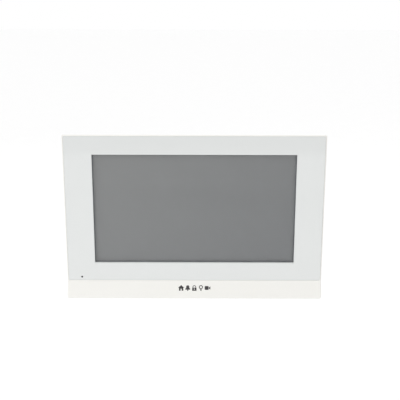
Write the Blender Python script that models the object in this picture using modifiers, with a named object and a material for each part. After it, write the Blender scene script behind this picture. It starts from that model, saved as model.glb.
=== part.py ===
# Video intercom monitor: a wall-hung indoor station with a 7-inch touch screen.
#
# Row frame: +Z up, +X to the right as seen from the room, +Y into the wall.
# The wall plane is y = 0, and the origin is the middle of the wall bracket's back face.
# Every size below is in millimetres; the helpers turn them into metres.

import math

import bmesh
import bpy
from mathutils import Vector

MM = 0.001
GAP = 0.3                       # clearance kept wherever two pieces touch or nearly touch

# --- Case ---------------------------------------------------------------------------------
HALF_WIDTH = 100.0
TOP = 65.0
CHIN_TOP = -52.9                # where the sloping chin starts, under the glass
LIP_FRONT_Z = -63.9             # foot of the sloping chin face
BOTTOM = -65.0
GLASS_FRONT = -23.0             # the flat front plane
LIP_FRONT = -28.6               # the chin leans out this far
LIP_UNDER = -27.4
TAPER_START = -21.8             # behind this plane the case draws in
TAPER = math.radians(15.0)
WALL = 2.0
SPLIT = -8.8                    # back edge of the front housing
BACK_EDGE = -3.5                # where the rear chamfer starts, and the back wall's inner face
BACK = -1.5                     # outer face of the back wall
BACK_CHAMFER = 2.0
UNDERSIDE_BACK_Z = -59.0        # underside, at BACK_EDGE

# --- Screen and glass -----------------------------------------------------------------------
GLASS_HALF_WIDTH = 99.0
GLASS_Z = (-52.0, 64.0)
GLASS_THICK = 1.6
SCREEN_Z = 6.25                 # centre height of the screen
WINDOW_HALF = (77.9, 43.55)     # clear window in the glass
PANEL_HALF_WIDTH = 81.9
PANEL_Z = (-45.2, 53.7)
TRAY_WALL = 0.4
TAPE = 0.4

# --- Layers behind the glass, front to back ----------------------------------------------------
GLASS_BACK = GLASS_FRONT + GLASS_THICK
TAPE_Y = (GLASS_BACK + GAP, GLASS_BACK + GAP + TAPE)
LEDGE_Y = (TAPE_Y[1] + GAP, TAPE_Y[1] + GAP + 1.8)
PANEL_Y = (LEDGE_Y[0], LEDGE_Y[0] + 1.2)
GUIDE_Y = (PANEL_Y[1] + GAP, PANEL_Y[1] + GAP + 2.0)
TRAY_Y = (LEDGE_Y[0] + 0.2, GUIDE_Y[1] + GAP + 0.5)
CHASSIS_Y = (TRAY_Y[1] + GAP, TRAY_Y[1] + GAP + 0.8)
BOARD_Y = (CHASSIS_Y[1] + 0.9, CHASSIS_Y[1] + 0.9 + 1.6)
PARTS_Y = BOARD_Y[1] + GAP      # components stand on the board from here

# --- Wiring bay in the back ---------------------------------------------------------------------
BAY_HALF_WIDTH = 34.0
BAY_Z = (-36.0, -8.0)
BAY_FLOOR = (CHASSIS_Y[1] + 0.4, CHASSIS_Y[1] + 1.6)
BAY_WALL = 1.2

# --- Wall bracket -----------------------------------------------------------------------------------
BRACKET_THICK = 1.2
BRACKET_HALF = (56.0, 50.0)
BRACKET_WINDOW_X = 36.0
BRACKET_WINDOW_Z = (7.0, 37.0)
BOX_SCREWS_ACROSS = 60.0
BOX_SCREWS_UP = 83.5
HOOK_WIDTH = 10.0
HOOK_RISE = 4.5                 # the tab above the tongue
HOOK_PLACES = [(-46.0, 24.0), (46.0, 24.0), (-24.0, -44.0), (24.0, -44.0)]
LIFT = 6.0                      # upward travel that frees the hooks

# --- Connectors ----------------------------------------------------------------------------------------
JACK_X = (-31.0, -15.0)
JACK_Y = (BOARD_Y[0] - 0.5, BACK_EDGE - GAP)
JACK_Z = (-7.4, 8.6)
POLES = 6
POLE_PITCH = 5.08
PLUG_X = 12.0
PLUG_HALF_WIDTH = 15.5
PLUG_BODY_Z = (-18.5, -6.6)

# --- Speaker, microphone and reset ------------------------------------------------------------------------
SPEAKER_AT = (71.0, -30.0)
SPEAKER_RADIUS = 17.8
MIC_AT = (-88.4, -49.3)
MIC_HOLE_RADIUS = 0.75
RESET_AT = (-66.0, -20.0)

# --- Fasteners -------------------------------------------------------------------------------------------------
COVER_SCREWS = [(-90.0, 50.0), (90.0, 50.0), (-78.0, -51.0), (78.0, -51.0)]
CHASSIS_SCREWS = [(-88.0, 34.0), (88.0, 34.0), (-88.0, -24.0), (88.0, -24.0)]
BOARD_SCREWS = [(-71.0, 46.0), (71.0, 46.0), (-71.0, -8.0), (71.0, -1.0)]
SPEAKER_SCREWS = [(SPEAKER_AT[0] - 14.85, SPEAKER_AT[1] + 14.85),
                  (SPEAKER_AT[0] + 14.85, SPEAKER_AT[1] - 14.85)]

# --- Finishes: base colour, roughness, metallic --------------------------------------------------------------------
FINISHES = {
    "white_abs": ((0.87, 0.86, 0.83), 0.45, 0.0),
    "white_glass": ((0.78, 0.80, 0.79), 0.08, 0.0),
    "screen_grey": ((0.22, 0.22, 0.22), 0.25, 0.0),
    "diffuser": ((0.82, 0.84, 0.86), 0.35, 0.0),
    "black_foam": ((0.03, 0.03, 0.03), 0.95, 0.0),
    "black_rubber": ((0.04, 0.04, 0.04), 0.8, 0.0),
    "zinc_steel": ((0.62, 0.63, 0.64), 0.4, 1.0),
    "tin_steel": ((0.75, 0.75, 0.74), 0.3, 1.0),
    "green_board": ((0.02, 0.16, 0.07), 0.4, 0.0),
    "green_plastic": ((0.05, 0.32, 0.10), 0.5, 0.0),
    "black_plastic": ((0.03, 0.03, 0.035), 0.5, 0.0),
    "ivory_plastic": ((0.80, 0.76, 0.64), 0.5, 0.0),
    "chip_epoxy": ((0.04, 0.04, 0.045), 0.55, 0.0),
    "capacitor_can": ((0.70, 0.71, 0.73), 0.3, 1.0),
    "ferrite": ((0.10, 0.10, 0.11), 0.7, 0.0),
    "amber_film": ((0.55, 0.26, 0.05), 0.4, 0.0),
    "paper_cone": ((0.06, 0.06, 0.06), 0.9, 0.0),
    "lead_jacket": ((0.05, 0.05, 0.05), 0.6, 0.0),
    "blue_button": ((0.08, 0.14, 0.40), 0.5, 0.0),
}


# =============================== helpers ===============================

def clear_scene():
    for old in list(bpy.data.objects):
        bpy.data.objects.remove(old, do_unlink=True)


def new_collection(name):
    collection = bpy.data.collections.new(name)
    bpy.context.scene.collection.children.link(collection)
    return collection


def make_materials():
    made = {}
    for name, (colour, roughness, metallic) in FINISHES.items():
        material = bpy.data.materials.new(name)
        material.use_nodes = True
        shader = material.node_tree.nodes["Principled BSDF"]
        shader.inputs["Base Color"].default_value = (*colour, 1.0)
        shader.inputs["Roughness"].default_value = roughness
        shader.inputs["Metallic"].default_value = metallic
        made[name] = material
    return made


def body_empty(name, place, parent=None):
    """An empty that carries one moving body; it stands on that body's joint axis."""
    empty = bpy.data.objects.new(name, None)
    empty.empty_display_size = 0.01
    empty["world_mm"] = place
    parent_place = parent["world_mm"] if parent else (0.0, 0.0, 0.0)
    empty.parent = parent
    empty.location = [(a - b) * MM for a, b in zip(place, parent_place)]
    parts.objects.link(empty)
    return empty


def carry(obj, body):
    """Parent obj to a body's empty without moving it in the world."""
    if body:
        obj.parent = body
        obj.location = obj.location - Vector(body["world_mm"]) * MM


def finish(obj, material, body, smooth=None):
    """Make obj a piece of the assembly. smooth is the angle above which an edge stays sharp."""
    obj.data.materials.clear()
    obj.data.materials.append(materials[material])
    carry(obj, body)
    parts.objects.link(obj)
    if smooth:
        obj.data.shade_smooth()
        obj.data.set_sharp_from_angle(angle=math.radians(smooth))
    return obj


def middle(span):
    return (span[0] + span[1]) / 2.0


def block(name, x, y, z):
    """A box between two limits on each axis, with its origin at its centre."""
    shape = bmesh.new()
    bmesh.ops.create_cube(shape, size=1.0)
    size = [(span[1] - span[0]) * MM for span in (x, y, z)]
    bmesh.ops.scale(shape, vec=size, verts=shape.verts)
    mesh = bpy.data.meshes.new(name)
    shape.to_mesh(mesh)
    shape.free()
    obj = bpy.data.objects.new(name, mesh)
    obj.location = [middle(span) * MM for span in (x, y, z)]
    return obj


def disc(name, at, radius, y, sides=24):
    """A round bar along Y, centred on the (x, z) point at."""
    shape = bmesh.new()
    depth = (y[1] - y[0]) * MM
    bmesh.ops.create_cone(shape, cap_ends=True, segments=sides,
                          radius1=radius * MM, radius2=radius * MM, depth=depth)
    mesh = bpy.data.meshes.new(name)
    shape.to_mesh(mesh)
    shape.free()
    obj = bpy.data.objects.new(name, mesh)
    obj.location = (at[0] * MM, middle(y) * MM, at[1] * MM)
    obj.rotation_euler = (math.pi / 2, 0.0, 0.0)
    return obj


# How a flat outline is stood up: the axis it is extruded along, and the turn that gets it there.
TURNS = {
    "x": (math.pi / 2, 0.0, math.pi / 2),       # outline in (y, z)
    "y": (math.pi / 2, 0.0, 0.0),               # outline in (x, z)
    "z": (0.0, 0.0, 0.0),                       # outline in (x, y)
}


def extrusion(name, outlines, axis, span):
    """A flat shape extruded along an axis. The first outline is its edge, the others are holes."""
    curve = bpy.data.curves.new(name, "CURVE")
    curve.dimensions = "2D"
    curve.fill_mode = "BOTH"
    curve.extrude = (span[1] - span[0]) / 2.0 * MM
    for outline in outlines:
        spline = curve.splines.new("POLY")
        spline.points.add(len(outline) - 1)
        for point, (u, v) in zip(spline.points, outline):
            point.co = (u * MM, v * MM, 0.0, 1.0)
        spline.use_cyclic_u = True
    source = bpy.data.objects.new(name + "_outline", curve)
    bpy.context.scene.collection.objects.link(source)
    source.rotation_euler = TURNS[axis]
    source.location = [middle(span) * MM if letter == axis else 0.0 for letter in "xyz"]
    return as_mesh(source, name)


def as_mesh(source, name):
    """Turn a curve object into a welded mesh object in the same place, and remove the curve."""
    bpy.context.view_layer.update()
    evaluated = source.evaluated_get(bpy.context.evaluated_depsgraph_get())
    mesh = bpy.data.meshes.new_from_object(evaluated)
    mesh.name = name
    shape = bmesh.new()
    shape.from_mesh(mesh)
    bmesh.ops.remove_doubles(shape, verts=shape.verts, dist=0.00001)
    bmesh.ops.recalc_face_normals(shape, faces=shape.faces)
    shape.to_mesh(mesh)
    shape.free()
    obj = bpy.data.objects.new(name, mesh)
    obj.matrix_world = source.matrix_world.copy()
    bpy.data.objects.remove(source, do_unlink=True)
    return obj


def turned(name, at, profile, sides=24, closed=False):
    """Turn (radius, y) points, listed front to back on the outside, about the Y axis line at (x, z)."""
    mesh = bpy.data.meshes.new(name)
    points = [(radius * MM, 0.0, -y * MM) for radius, y in profile]
    edges = [(i, i + 1) for i in range(len(points) - 1)]
    if closed:
        edges.append((len(points) - 1, 0))
    mesh.from_pydata(points, edges, [])
    obj = bpy.data.objects.new(name, mesh)
    obj.location = (at[0] * MM, 0.0, at[1] * MM)
    obj.rotation_euler = (math.pi / 2, 0.0, 0.0)
    screw = obj.modifiers.new("Turn", "SCREW")
    screw.steps = sides
    screw.render_steps = sides
    screw.use_merge_vertices = True
    screw.merge_threshold = 0.00001
    return obj


def boolean(target, other, operation):
    """Cut, join or intersect target with other, which becomes a hidden cutter."""
    cutters.objects.link(other)
    other.hide_render = True
    other.display_type = "WIRE"
    step = target.modifiers.new(operation.title(), "BOOLEAN")
    step.operation = operation
    step.solver = "EXACT"
    step.object = other


def cut(target, other):
    boolean(target, other, "DIFFERENCE")


def join(target, other):
    boolean(target, other, "UNION")


def soften(obj, width):
    """A small chamfer on every edge."""
    bevel = obj.modifiers.new("Edges", "BEVEL")
    bevel.width = width * MM
    bevel.segments = 1
    bevel.limit_method = "ANGLE"


def rectangle(x, z):
    return [(x[0], z[0]), (x[1], z[0]), (x[1], z[1]), (x[0], z[1])]


def rounded_rectangle(x, z, radius, steps=4):
    """A rectangle with arcs at its corners."""
    corners = [(x[1] - radius, z[1] - radius, 0), (x[0] + radius, z[1] - radius, 1),
               (x[0] + radius, z[0] + radius, 2), (x[1] - radius, z[0] + radius, 3)]
    outline = []
    for centre_x, centre_z, quarter in corners:
        for step in range(steps + 1):
            angle = (quarter + step / steps) * math.pi / 2
            outline.append((centre_x + radius * math.cos(angle), centre_z + radius * math.sin(angle)))
    return outline


def ring_points(at, radius, sides=16):
    angles = [2 * math.pi * i / sides for i in range(sides)]
    return [(at[0] + radius * math.cos(a), at[1] + radius * math.sin(a)) for a in angles]


def rounded_path(points, radius, steps=4):
    """Replace each inner corner of a right-angled path with a quarter arc."""
    path = [Vector(points[0])]
    for before, corner, after in zip(points, points[1:], points[2:]):
        corner = Vector(corner)
        back = (Vector(before) - corner).normalized()
        ahead = (Vector(after) - corner).normalized()
        centre = corner + (back + ahead) * radius
        for step in range(steps + 1):
            angle = step / steps * math.pi / 2
            path.append(centre - ahead * radius * math.cos(angle) - back * radius * math.sin(angle))
    path.append(Vector(points[-1]))
    return path


def ribbon_outline(path, thickness):
    """The closed outline of a thin strip that follows a path."""
    left, right = [], []
    for i, point in enumerate(path):
        heading = (path[min(i + 1, len(path) - 1)] - path[max(i - 1, 0)]).normalized()
        side = Vector((-heading.y, heading.x)) * thickness / 2
        left.append(tuple(point + side))
        right.append(tuple(point - side))
    return left + right[::-1]


def smooth_points(points, samples):
    """Points along one smooth curve through the given ones."""
    points = [Vector(p) for p in points]
    ends = [2 * points[0] - points[1]] + points + [2 * points[-1] - points[-2]]
    path = []
    for a, b, c, d in zip(ends, ends[1:], ends[2:], ends[3:]):
        for step in range(samples):
            t = step / samples
            path.append(0.5 * (2 * b + (c - a) * t + (2 * a - 5 * b + 4 * c - d) * t ** 2
                               + (3 * b - a - 3 * c + d) * t ** 3))
    return path + [points[-1]]


# =============================== case form ===============================

def taper(y):
    """How far the sides and the top have drawn in at depth y."""
    return max(0.0, y - TAPER_START) * math.tan(TAPER)


def underside(y):
    """Height of the case's underside at depth y."""
    share = (y - BACK_EDGE) / (LIP_UNDER - BACK_EDGE)
    return UNDERSIDE_BACK_Z + share * (BOTTOM - UNDERSIDE_BACK_Z)


def chin_face(z, inset=0.0):
    """Depth of the sloping chin face at height z, or of its inner side, one wall in."""
    lean = (LIP_FRONT - GLASS_FRONT) / (LIP_FRONT_Z - CHIN_TOP)
    return GLASS_FRONT + lean * (z - CHIN_TOP) + inset * math.hypot(1.0, lean)


def plan_outline(inset):
    """The case seen from above, drawn in by inset."""
    edge = HALF_WIDTH - inset
    right = [(edge, LIP_FRONT - 2.0), (edge, TAPER_START), (edge - taper(BACK_EDGE), BACK_EDGE),
             (edge - taper(BACK_EDGE) - BACK_CHAMFER, BACK)]
    return right + [(-x, y) for x, y in reversed(right)]


def case_form(name, side_outline, inset):
    """A length of the case: its side outline, extruded across and trimmed to the plan."""
    form = extrusion(name, [side_outline], "x", (-HALF_WIDTH - 1.0, HALF_WIDTH + 1.0))
    boolean(form, extrusion(name + "_plan", [plan_outline(inset)], "z", (BOTTOM - 5.0, TOP + 5.0)),
            "INTERSECT")
    return form


def front_outline():
    return [(GLASS_FRONT, TOP), (TAPER_START, TOP), (SPLIT, TOP - taper(SPLIT)),
            (SPLIT, underside(SPLIT)), (LIP_UNDER, BOTTOM), (LIP_FRONT + 0.35, BOTTOM + 0.3),
            (LIP_FRONT, LIP_FRONT_Z), (GLASS_FRONT, CHIN_TOP)]


def front_hollow_outline():
    """The front housing's inside: behind the ledge, and forward into the chin below it."""
    shelf = CHIN_TOP - WALL
    past = SPLIT + 2.0
    foot = underside(LIP_UNDER + WALL) + WALL
    return [(LEDGE_Y[1], TOP - taper(LEDGE_Y[1]) - WALL), (past, TOP - taper(past) - WALL),
            (past, underside(past) + WALL), (chin_face(foot, WALL), foot),
            (chin_face(shelf, WALL), shelf), (LEDGE_Y[1], shelf)]


def rear_outline():
    start = SPLIT + GAP
    back_top = TOP - taper(BACK_EDGE)
    return [(start, TOP - taper(start)), (BACK_EDGE, back_top), (BACK, back_top - BACK_CHAMFER),
            (BACK, UNDERSIDE_BACK_Z + BACK_CHAMFER), (BACK_EDGE, UNDERSIDE_BACK_Z),
            (start, underside(start))]


def rear_hollow_outline():
    past = SPLIT - 2.0
    return [(past, TOP - taper(past) - WALL), (BACK_EDGE, TOP - taper(BACK_EDGE) - WALL),
            (BACK_EDGE, UNDERSIDE_BACK_Z + WALL), (past, underside(past) + WALL)]


# =============================== case pieces ===============================

def make_front_housing(body):
    housing = case_form("front_housing", front_outline(), 0.0)
    cut(housing, case_form("front_hollow", front_hollow_outline(), WALL))
    pocket_x = GLASS_HALF_WIDTH + GAP
    pocket_z = (GLASS_Z[0] - GAP, GLASS_Z[1] + GAP)
    cut(housing, block("glass_pocket", (-pocket_x, pocket_x), (LIP_FRONT, LEDGE_Y[0]), pocket_z))
    through = (LEDGE_Y[0] - 1.0, LEDGE_Y[1] + 1.0)
    cut(housing, block("screen_opening", (-83.6, 83.6), through, (-47.9, 55.4)))
    cut(housing, block("touch_flex_notch", (19.0, 41.0), through, (54.0, 58.6)))
    cut(housing, disc("mic_port", MIC_AT, 1.6, through, 16))
    for number, place in enumerate(COVER_SCREWS, 1):
        join(housing, disc(f"cover_post_{number}", place, 3.6, (LEDGE_Y[1] - 1.0, SPLIT - 0.8), 20))
        cut(housing, disc(f"cover_pilot_{number}", place, 1.6, (LEDGE_Y[1] + 0.4, SPLIT + 1.0), 12))
    for number, place in enumerate(CHASSIS_SCREWS, 1):
        join(housing, disc(f"chassis_post_{number}", place, 3.0, (LEDGE_Y[1] - 1.0, TRAY_Y[1]), 20))
        cut(housing, disc(f"chassis_pilot_{number}", place, 1.5, (LEDGE_Y[0] + 0.6, SPLIT), 12))
    finish(housing, "white_abs", body)


def make_rear_cover(body):
    cover = case_form("rear_cover", rear_outline(), 0.0)
    cut(cover, case_form("rear_hollow", rear_hollow_outline(), WALL))
    outer_x = BAY_HALF_WIDTH + BAY_WALL
    join(cover, block("bay_block", (-outer_x, outer_x), (BAY_FLOOR[0], BACK_EDGE + 1.0),
                      (BAY_Z[0] - BAY_WALL, BAY_Z[1] + BAY_WALL)))
    for number, place in enumerate(COVER_SCREWS, 1):
        join(cover, disc(f"rear_post_{number}", place, 4.4, (SPLIT - GAP, BACK_EDGE + 1.0), 20))
    for number, place in enumerate(SPEAKER_SCREWS, 1):
        join(cover, disc(f"speaker_post_{number}", place, 2.4, (-4.4, BACK_EDGE + 1.0), 16))
    cut(cover, block("bay_hollow", (-BAY_HALF_WIDTH, BAY_HALF_WIDTH), (BAY_FLOOR[1], 1.0), BAY_Z))
    notch_z = (BAY_Z[1] - 0.5, BAY_Z[1] + BAY_WALL + 0.5)
    cut(cover, block("jack_notch", (JACK_X[0] - GAP, JACK_X[1] + GAP),
                     (BAY_FLOOR[0] - 1.0, BACK_EDGE), notch_z))
    cut(cover, block("plug_notch", (PLUG_X - PLUG_HALF_WIDTH - 0.6, PLUG_X + PLUG_HALF_WIDTH + 0.6),
                     (PARTS_Y - 0.2, BACK_EDGE), notch_z))
    past_wall = (BACK_EDGE - 1.0, BACK + 1.0)
    for number, (x, z) in enumerate(HOOK_PLACES, 1):
        half = HOOK_WIDTH / 2 + 0.5
        low = z - BRACKET_THICK - LIFT - 0.4
        cut(cover, block(f"hook_slot_{number}", (x - half, x + half), past_wall, (low, z + GAP)))
    for number, place in enumerate(COVER_SCREWS, 1):
        cut(cover, disc(f"head_well_{number}", place, 3.1, (-4.6, BACK + 1.0), 20))
        cut(cover, disc(f"screw_way_{number}", place, 1.8, (SPLIT - 2.0, -4.0), 12))
    for number, place in enumerate(SPEAKER_SCREWS, 1):
        cut(cover, disc(f"speaker_pilot_{number}", place, 1.3, (SPLIT, -2.4), 12))
    cut(cover, disc("reset_hole", RESET_AT, 2.4, past_wall, 16))
    for side in (-1, 1):
        for row in range(6):
            z = 6.0 + 5.0 * row
            x = sorted((side * 66.0, side * 84.0))
            cut(cover, block(f"vent_{side}_{row}", x, past_wall, (z - 1.1, z + 1.1)))
    for row in range(-3, 4):
        z = SPEAKER_AT[1] + 4.2 * row
        half = math.sqrt(14.5 ** 2 - (4.2 * row) ** 2)
        x = (SPEAKER_AT[0] - half, SPEAKER_AT[0] + half)
        cut(cover, block(f"sound_slot_{row}", x, past_wall, (z - 1.0, z + 1.0)))
    finish(cover, "white_abs", body)


def make_wall_bracket():
    half_x, half_z = BRACKET_HALF
    window_x = (-BRACKET_WINDOW_X, BRACKET_WINDOW_X)
    low, high = BRACKET_WINDOW_Z
    outlines = [rounded_rectangle((-half_x, half_x), (-half_z, half_z), 5.0),
                rounded_rectangle(window_x, (low, high), 3.0),
                rounded_rectangle(window_x, (-high, -low), 3.0)]
    for side in (-1, 1):
        for end in (-1, 1):
            outlines.append(ring_points((side * 50.0, end * 44.0), 2.5, 12))
    for x, z in HOOK_PLACES:
        half = HOOK_WIDTH / 2 + 0.4
        outlines.append(rectangle((x - half, x + half), (z - 0.4, z + HOOK_RISE + 1.4)))
    bracket = extrusion("wall_bracket", outlines, "y", (-BRACKET_THICK, 0.0))
    for side in (-1, 1):
        for x, z in ((side * BOX_SCREWS_ACROSS / 2, 0.0), (0.0, side * BOX_SCREWS_UP / 2)):
            slot = rounded_rectangle((x - 4.0, x + 4.0), (z - 2.3, z + 2.3), 2.2, 3)
            cut(bracket, extrusion("box_screw_slot", [slot], "y", (-BRACKET_THICK - 1.0, 1.0)))
    reach = BACK_EDGE - GAP - BRACKET_THICK
    root = -BRACKET_THICK / 2
    for number, (x, z) in enumerate(HOOK_PLACES, 1):
        under = z - BRACKET_THICK
        shape = [(root, under), (reach, under), (reach, z + HOOK_RISE),
                 (reach + BRACKET_THICK, z + HOOK_RISE), (reach + BRACKET_THICK, z), (root, z)]
        join(bracket, extrusion(f"hook_{number}", [shape], "x",
                                (x - HOOK_WIDTH / 2, x + HOOK_WIDTH / 2)))
    finish(bracket, "zinc_steel", None)


# =============================== glass and screen ===============================

def make_glass(body):
    edge = rounded_rectangle((-GLASS_HALF_WIDTH, GLASS_HALF_WIDTH), GLASS_Z, 0.8, 3)
    glass = extrusion("cover_glass", [edge, ring_points(MIC_AT, MIC_HOLE_RADIUS, 16)], "y",
                      (GLASS_FRONT, GLASS_BACK))
    finish(glass, "white_glass", body)

    tape = extrusion("glass_gasket", [rectangle((-98.4, 98.4), (-51.4, 63.4)),
                                      rectangle((-95.4, 95.4), (-48.2, 60.4))], "y", TAPE_Y)
    cut(tape, disc("gasket_mic_cut", MIC_AT, 1.6, (TAPE_Y[0] - 0.5, TAPE_Y[1] + 0.5), 16))
    finish(tape, "black_foam", body)


def make_screen(body):
    window_x, window_z = WINDOW_HALF
    inner = rectangle((-window_x - 0.6, window_x + 0.6),
                      (SCREEN_Z - window_z - 0.6, SCREEN_Z + window_z + 0.6))
    seal = extrusion("lcd_gasket", [rectangle((-81.5, 81.5), (-43.0, 53.4)), inner], "y", TAPE_Y)
    finish(seal, "black_foam", body)

    across = (-PANEL_HALF_WIDTH, PANEL_HALF_WIDTH)
    finish(block("lcd_panel", across, PANEL_Y, PANEL_Z), "screen_grey", body)
    finish(block("light_guide", across, GUIDE_Y, PANEL_Z), "diffuser", body)

    room = 0.6
    inside_x = PANEL_HALF_WIDTH + room
    inside_z = (PANEL_Z[0] - room, PANEL_Z[1] + room)
    outside_x = inside_x + TRAY_WALL
    tray = block("lcd_tray", (-outside_x, outside_x), TRAY_Y,
                 (inside_z[0] - TRAY_WALL, inside_z[1] + TRAY_WALL))
    cut(tray, block("tray_inside", (-inside_x, inside_x), (TRAY_Y[0] - 1.0, TRAY_Y[1] - 0.5), inside_z))
    finish(tray, "tin_steel", body)


def make_chassis(body):
    """The steel frame that clamps the screen to the housing and carries the board."""
    outlines = [rectangle((-84.0, 84.0), (-44.0, 53.0)), rectangle((-60.0, 60.0), (-30.0, 38.0))]
    chassis = extrusion("lcd_chassis", outlines, "y", CHASSIS_Y)
    for number, (x, z) in enumerate(CHASSIS_SCREWS, 1):
        ear = sorted((math.copysign(80.0, x), math.copysign(91.5, x)))
        join(chassis, block(f"chassis_ear_{number}", ear, CHASSIS_Y, (z - 4.0, z + 4.0)))
    for number, place in enumerate(BOARD_SCREWS, 1):
        join(chassis, disc(f"board_boss_{number}", place, 3.0,
                           (CHASSIS_Y[0] + 0.2, BOARD_Y[0] - GAP), 16))
    for number, place in enumerate(CHASSIS_SCREWS + BOARD_SCREWS, 1):
        cut(chassis, disc(f"chassis_hole_{number}", place, 1.6,
                          (CHASSIS_Y[0] - 1.0, BOARD_Y[0] + 1.0), 12))
    finish(chassis, "zinc_steel", body)


def make_flexes(body):
    """The film cables of the screen and of the touch sensor, each with its board connector."""
    film = 0.3
    film_y = PARTS_Y + film / 2
    under_tray = -46.75
    screen_path = rounded_path([(TRAY_Y[0] + 0.3, under_tray), (film_y, under_tray),
                                (film_y, -37.3)], 1.0)
    finish(extrusion("lcd_flex", [ribbon_outline(screen_path, film)], "x", (-62.0, -40.0)),
           "amber_film", body)
    finish(block("lcd_flex_connector", (-63.0, -39.0), (PARTS_Y, PARTS_Y + 1.8), (-37.0, -32.5)),
           "ivory_plastic", body)

    over_tray = 57.2
    behind_glass = GLASS_BACK + GAP + film / 2
    touch_path = rounded_path([(behind_glass, 60.0), (behind_glass, over_tray), (film_y, over_tray),
                               (film_y, 47.6)], 0.8)
    finish(extrusion("touch_flex", [ribbon_outline(touch_path, film)], "x", (22.0, 38.0)),
           "amber_film", body)
    finish(block("touch_flex_connector", (21.0, 39.0), (PARTS_Y, PARTS_Y + 1.8), (43.0, 47.3)),
           "ivory_plastic", body)


# =============================== board and components ===============================

def make_board(body):
    """The main board steps round the wiring bay, and the network jack sinks into its edge."""
    jack_low, jack_high = JACK_X[0] - 0.4, JACK_X[1] + 0.4
    foot = BAY_Z[1] + 2.5
    outline = [(-75.0, -40.0), (-36.5, -40.0), (-36.5, foot), (jack_low, foot), (jack_low, 9.0),
               (jack_high, 9.0), (jack_high, foot), (75.0, foot), (75.0, 50.0), (-75.0, 50.0)]
    holes = [ring_points(place, 1.6, 12) for place in BOARD_SCREWS]
    finish(extrusion("main_board", [outline] + holes, "y", BOARD_Y), "green_board", body)


def make_components(body):
    blocks = [
        # name, x limits, height off the board, z limits, finish
        ("processor_chip", (-17.0, -3.0), 1.2, (24.0, 38.0), "chip_epoxy"),
        ("memory_chip", (-1.0, 8.0), 1.0, (25.0, 37.0), "chip_epoxy"),
        ("lan_transformer", (-37.5, -24.5), 5.0, (12.0, 21.5), "chip_epoxy"),
        ("power_inductor", (56.0, 63.0), 4.2, (24.0, 31.0), "ferrite"),
        ("relay", (56.0, 71.0), 5.6, (8.0, 18.0), "ivory_plastic"),
        ("mic_connector", (-74.0, -68.0), 3.6, (-36.0, -31.5), "ivory_plastic"),
        ("speaker_connector", (62.0, 68.0), 3.6, (-2.0, 2.5), "ivory_plastic"),
    ]
    for name, x, height, z, material in blocks:
        piece = block(name, x, (PARTS_Y, PARTS_Y + height), z)
        soften(piece, 0.25)
        finish(piece, material, body)

    can = block("shield_can", (-20.0, 11.0), (PARTS_Y, PARTS_Y + 3.2), (20.0, 42.0))
    cut(can, block("can_inside", (-19.6, 10.6), (PARTS_Y - 1.0, PARTS_Y + 2.8), (20.4, 41.6)))
    finish(can, "tin_steel", body)

    for number, place in enumerate([(22.0, 20.0), (32.5, 20.0), (32.5, 31.0)], 1):
        top = PARTS_Y + 7.7
        profile = [(0.0, PARTS_Y), (4.1, PARTS_Y), (4.1, PARTS_Y + 1.0), (3.8, PARTS_Y + 1.4),
                   (4.0, PARTS_Y + 1.9), (4.0, top - 0.4), (3.6, top), (0.0, top)]
        finish(turned(f"capacitor_{number}", place, profile, 20), "capacitor_can", body)


def make_jack(body):
    """The network jack: a shielded socket whose mouth opens down into the wiring bay."""
    jack = block("rj45_jack", JACK_X, JACK_Y, JACK_Z)
    centre = middle(JACK_X)
    mouth_z = (JACK_Z[0] - 1.0, JACK_Z[1] - 3.5)
    key_y = JACK_Y[1] - 2.6
    cut(jack, block("jack_mouth", (centre - 5.95, centre + 5.95), (JACK_Y[0] + 1.4, key_y), mouth_z))
    cut(jack, block("jack_latch_way", (centre - 2.1, centre + 2.1), (key_y - 0.5, JACK_Y[1] - 0.6),
                    mouth_z))
    finish(jack, "tin_steel", body)


def pole_places():
    return [PLUG_X + POLE_PITCH * (i - (POLES - 1) / 2) for i in range(POLES)]


def make_terminals(body, plug_body):
    """The terminal header on the board, and the wire plug that pushes up into it."""
    half = PLUG_HALF_WIDTH
    header_y = (PARTS_Y, BACK_EDGE - GAP)
    header_z = (PLUG_BODY_Z[1] + 0.4, 5.8)
    header = block("terminal_header", (PLUG_X - half - 1.4, PLUG_X + half + 1.4), header_y, header_z)
    cut(header, block("header_inside", (PLUG_X - half - 0.4, PLUG_X + half + 0.4),
                      (header_y[0] + 1.0, header_y[1] - 1.0), (header_z[0] - 1.0, header_z[1] - 3.0)))
    finish(header, "green_plastic", body)

    plug_y = (PARTS_Y + GAP, BACK_EDGE - 0.6)
    plug = block("terminal_plug", (PLUG_X - half, PLUG_X + half), plug_y, PLUG_BODY_Z)
    nose_y = (header_y[0] + 1.4, header_y[1] - 1.4)
    join(plug, block("plug_nose", (PLUG_X - half, PLUG_X + half), nose_y,
                     (PLUG_BODY_Z[1] - 2.0, header_z[1] - 3.8)))
    screw_z = middle(PLUG_BODY_Z) - 1.0
    for number, x in enumerate(pole_places(), 1):
        cut(plug, disc(f"screw_well_{number}", (x, screw_z), 1.9, (plug_y[1] - 4.6, plug_y[1] + 1.0), 12))
        cut(plug, block(f"wire_way_{number}", (x - 1.5, x + 1.5), (plug_y[0] + 0.9, plug_y[0] + 3.9),
                        (PLUG_BODY_Z[0] - 1.0, PLUG_BODY_Z[0] + 9.0)))
    finish(plug, "green_plastic", plug_body)
    for number, x in enumerate(pole_places(), 1):
        clamp = [(0.0, plug_y[1] - 4.2), (1.0, plug_y[1] - 4.2), (1.0, plug_y[1] - 1.8),
                 (1.55, plug_y[1] - 1.8), (1.55, plug_y[1] - 0.5), (0.0, plug_y[1] - 0.5)]
        finish(turned(f"clamp_screw_{number}", (x, screw_z), clamp, 12), "zinc_steel", plug_body)


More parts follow.
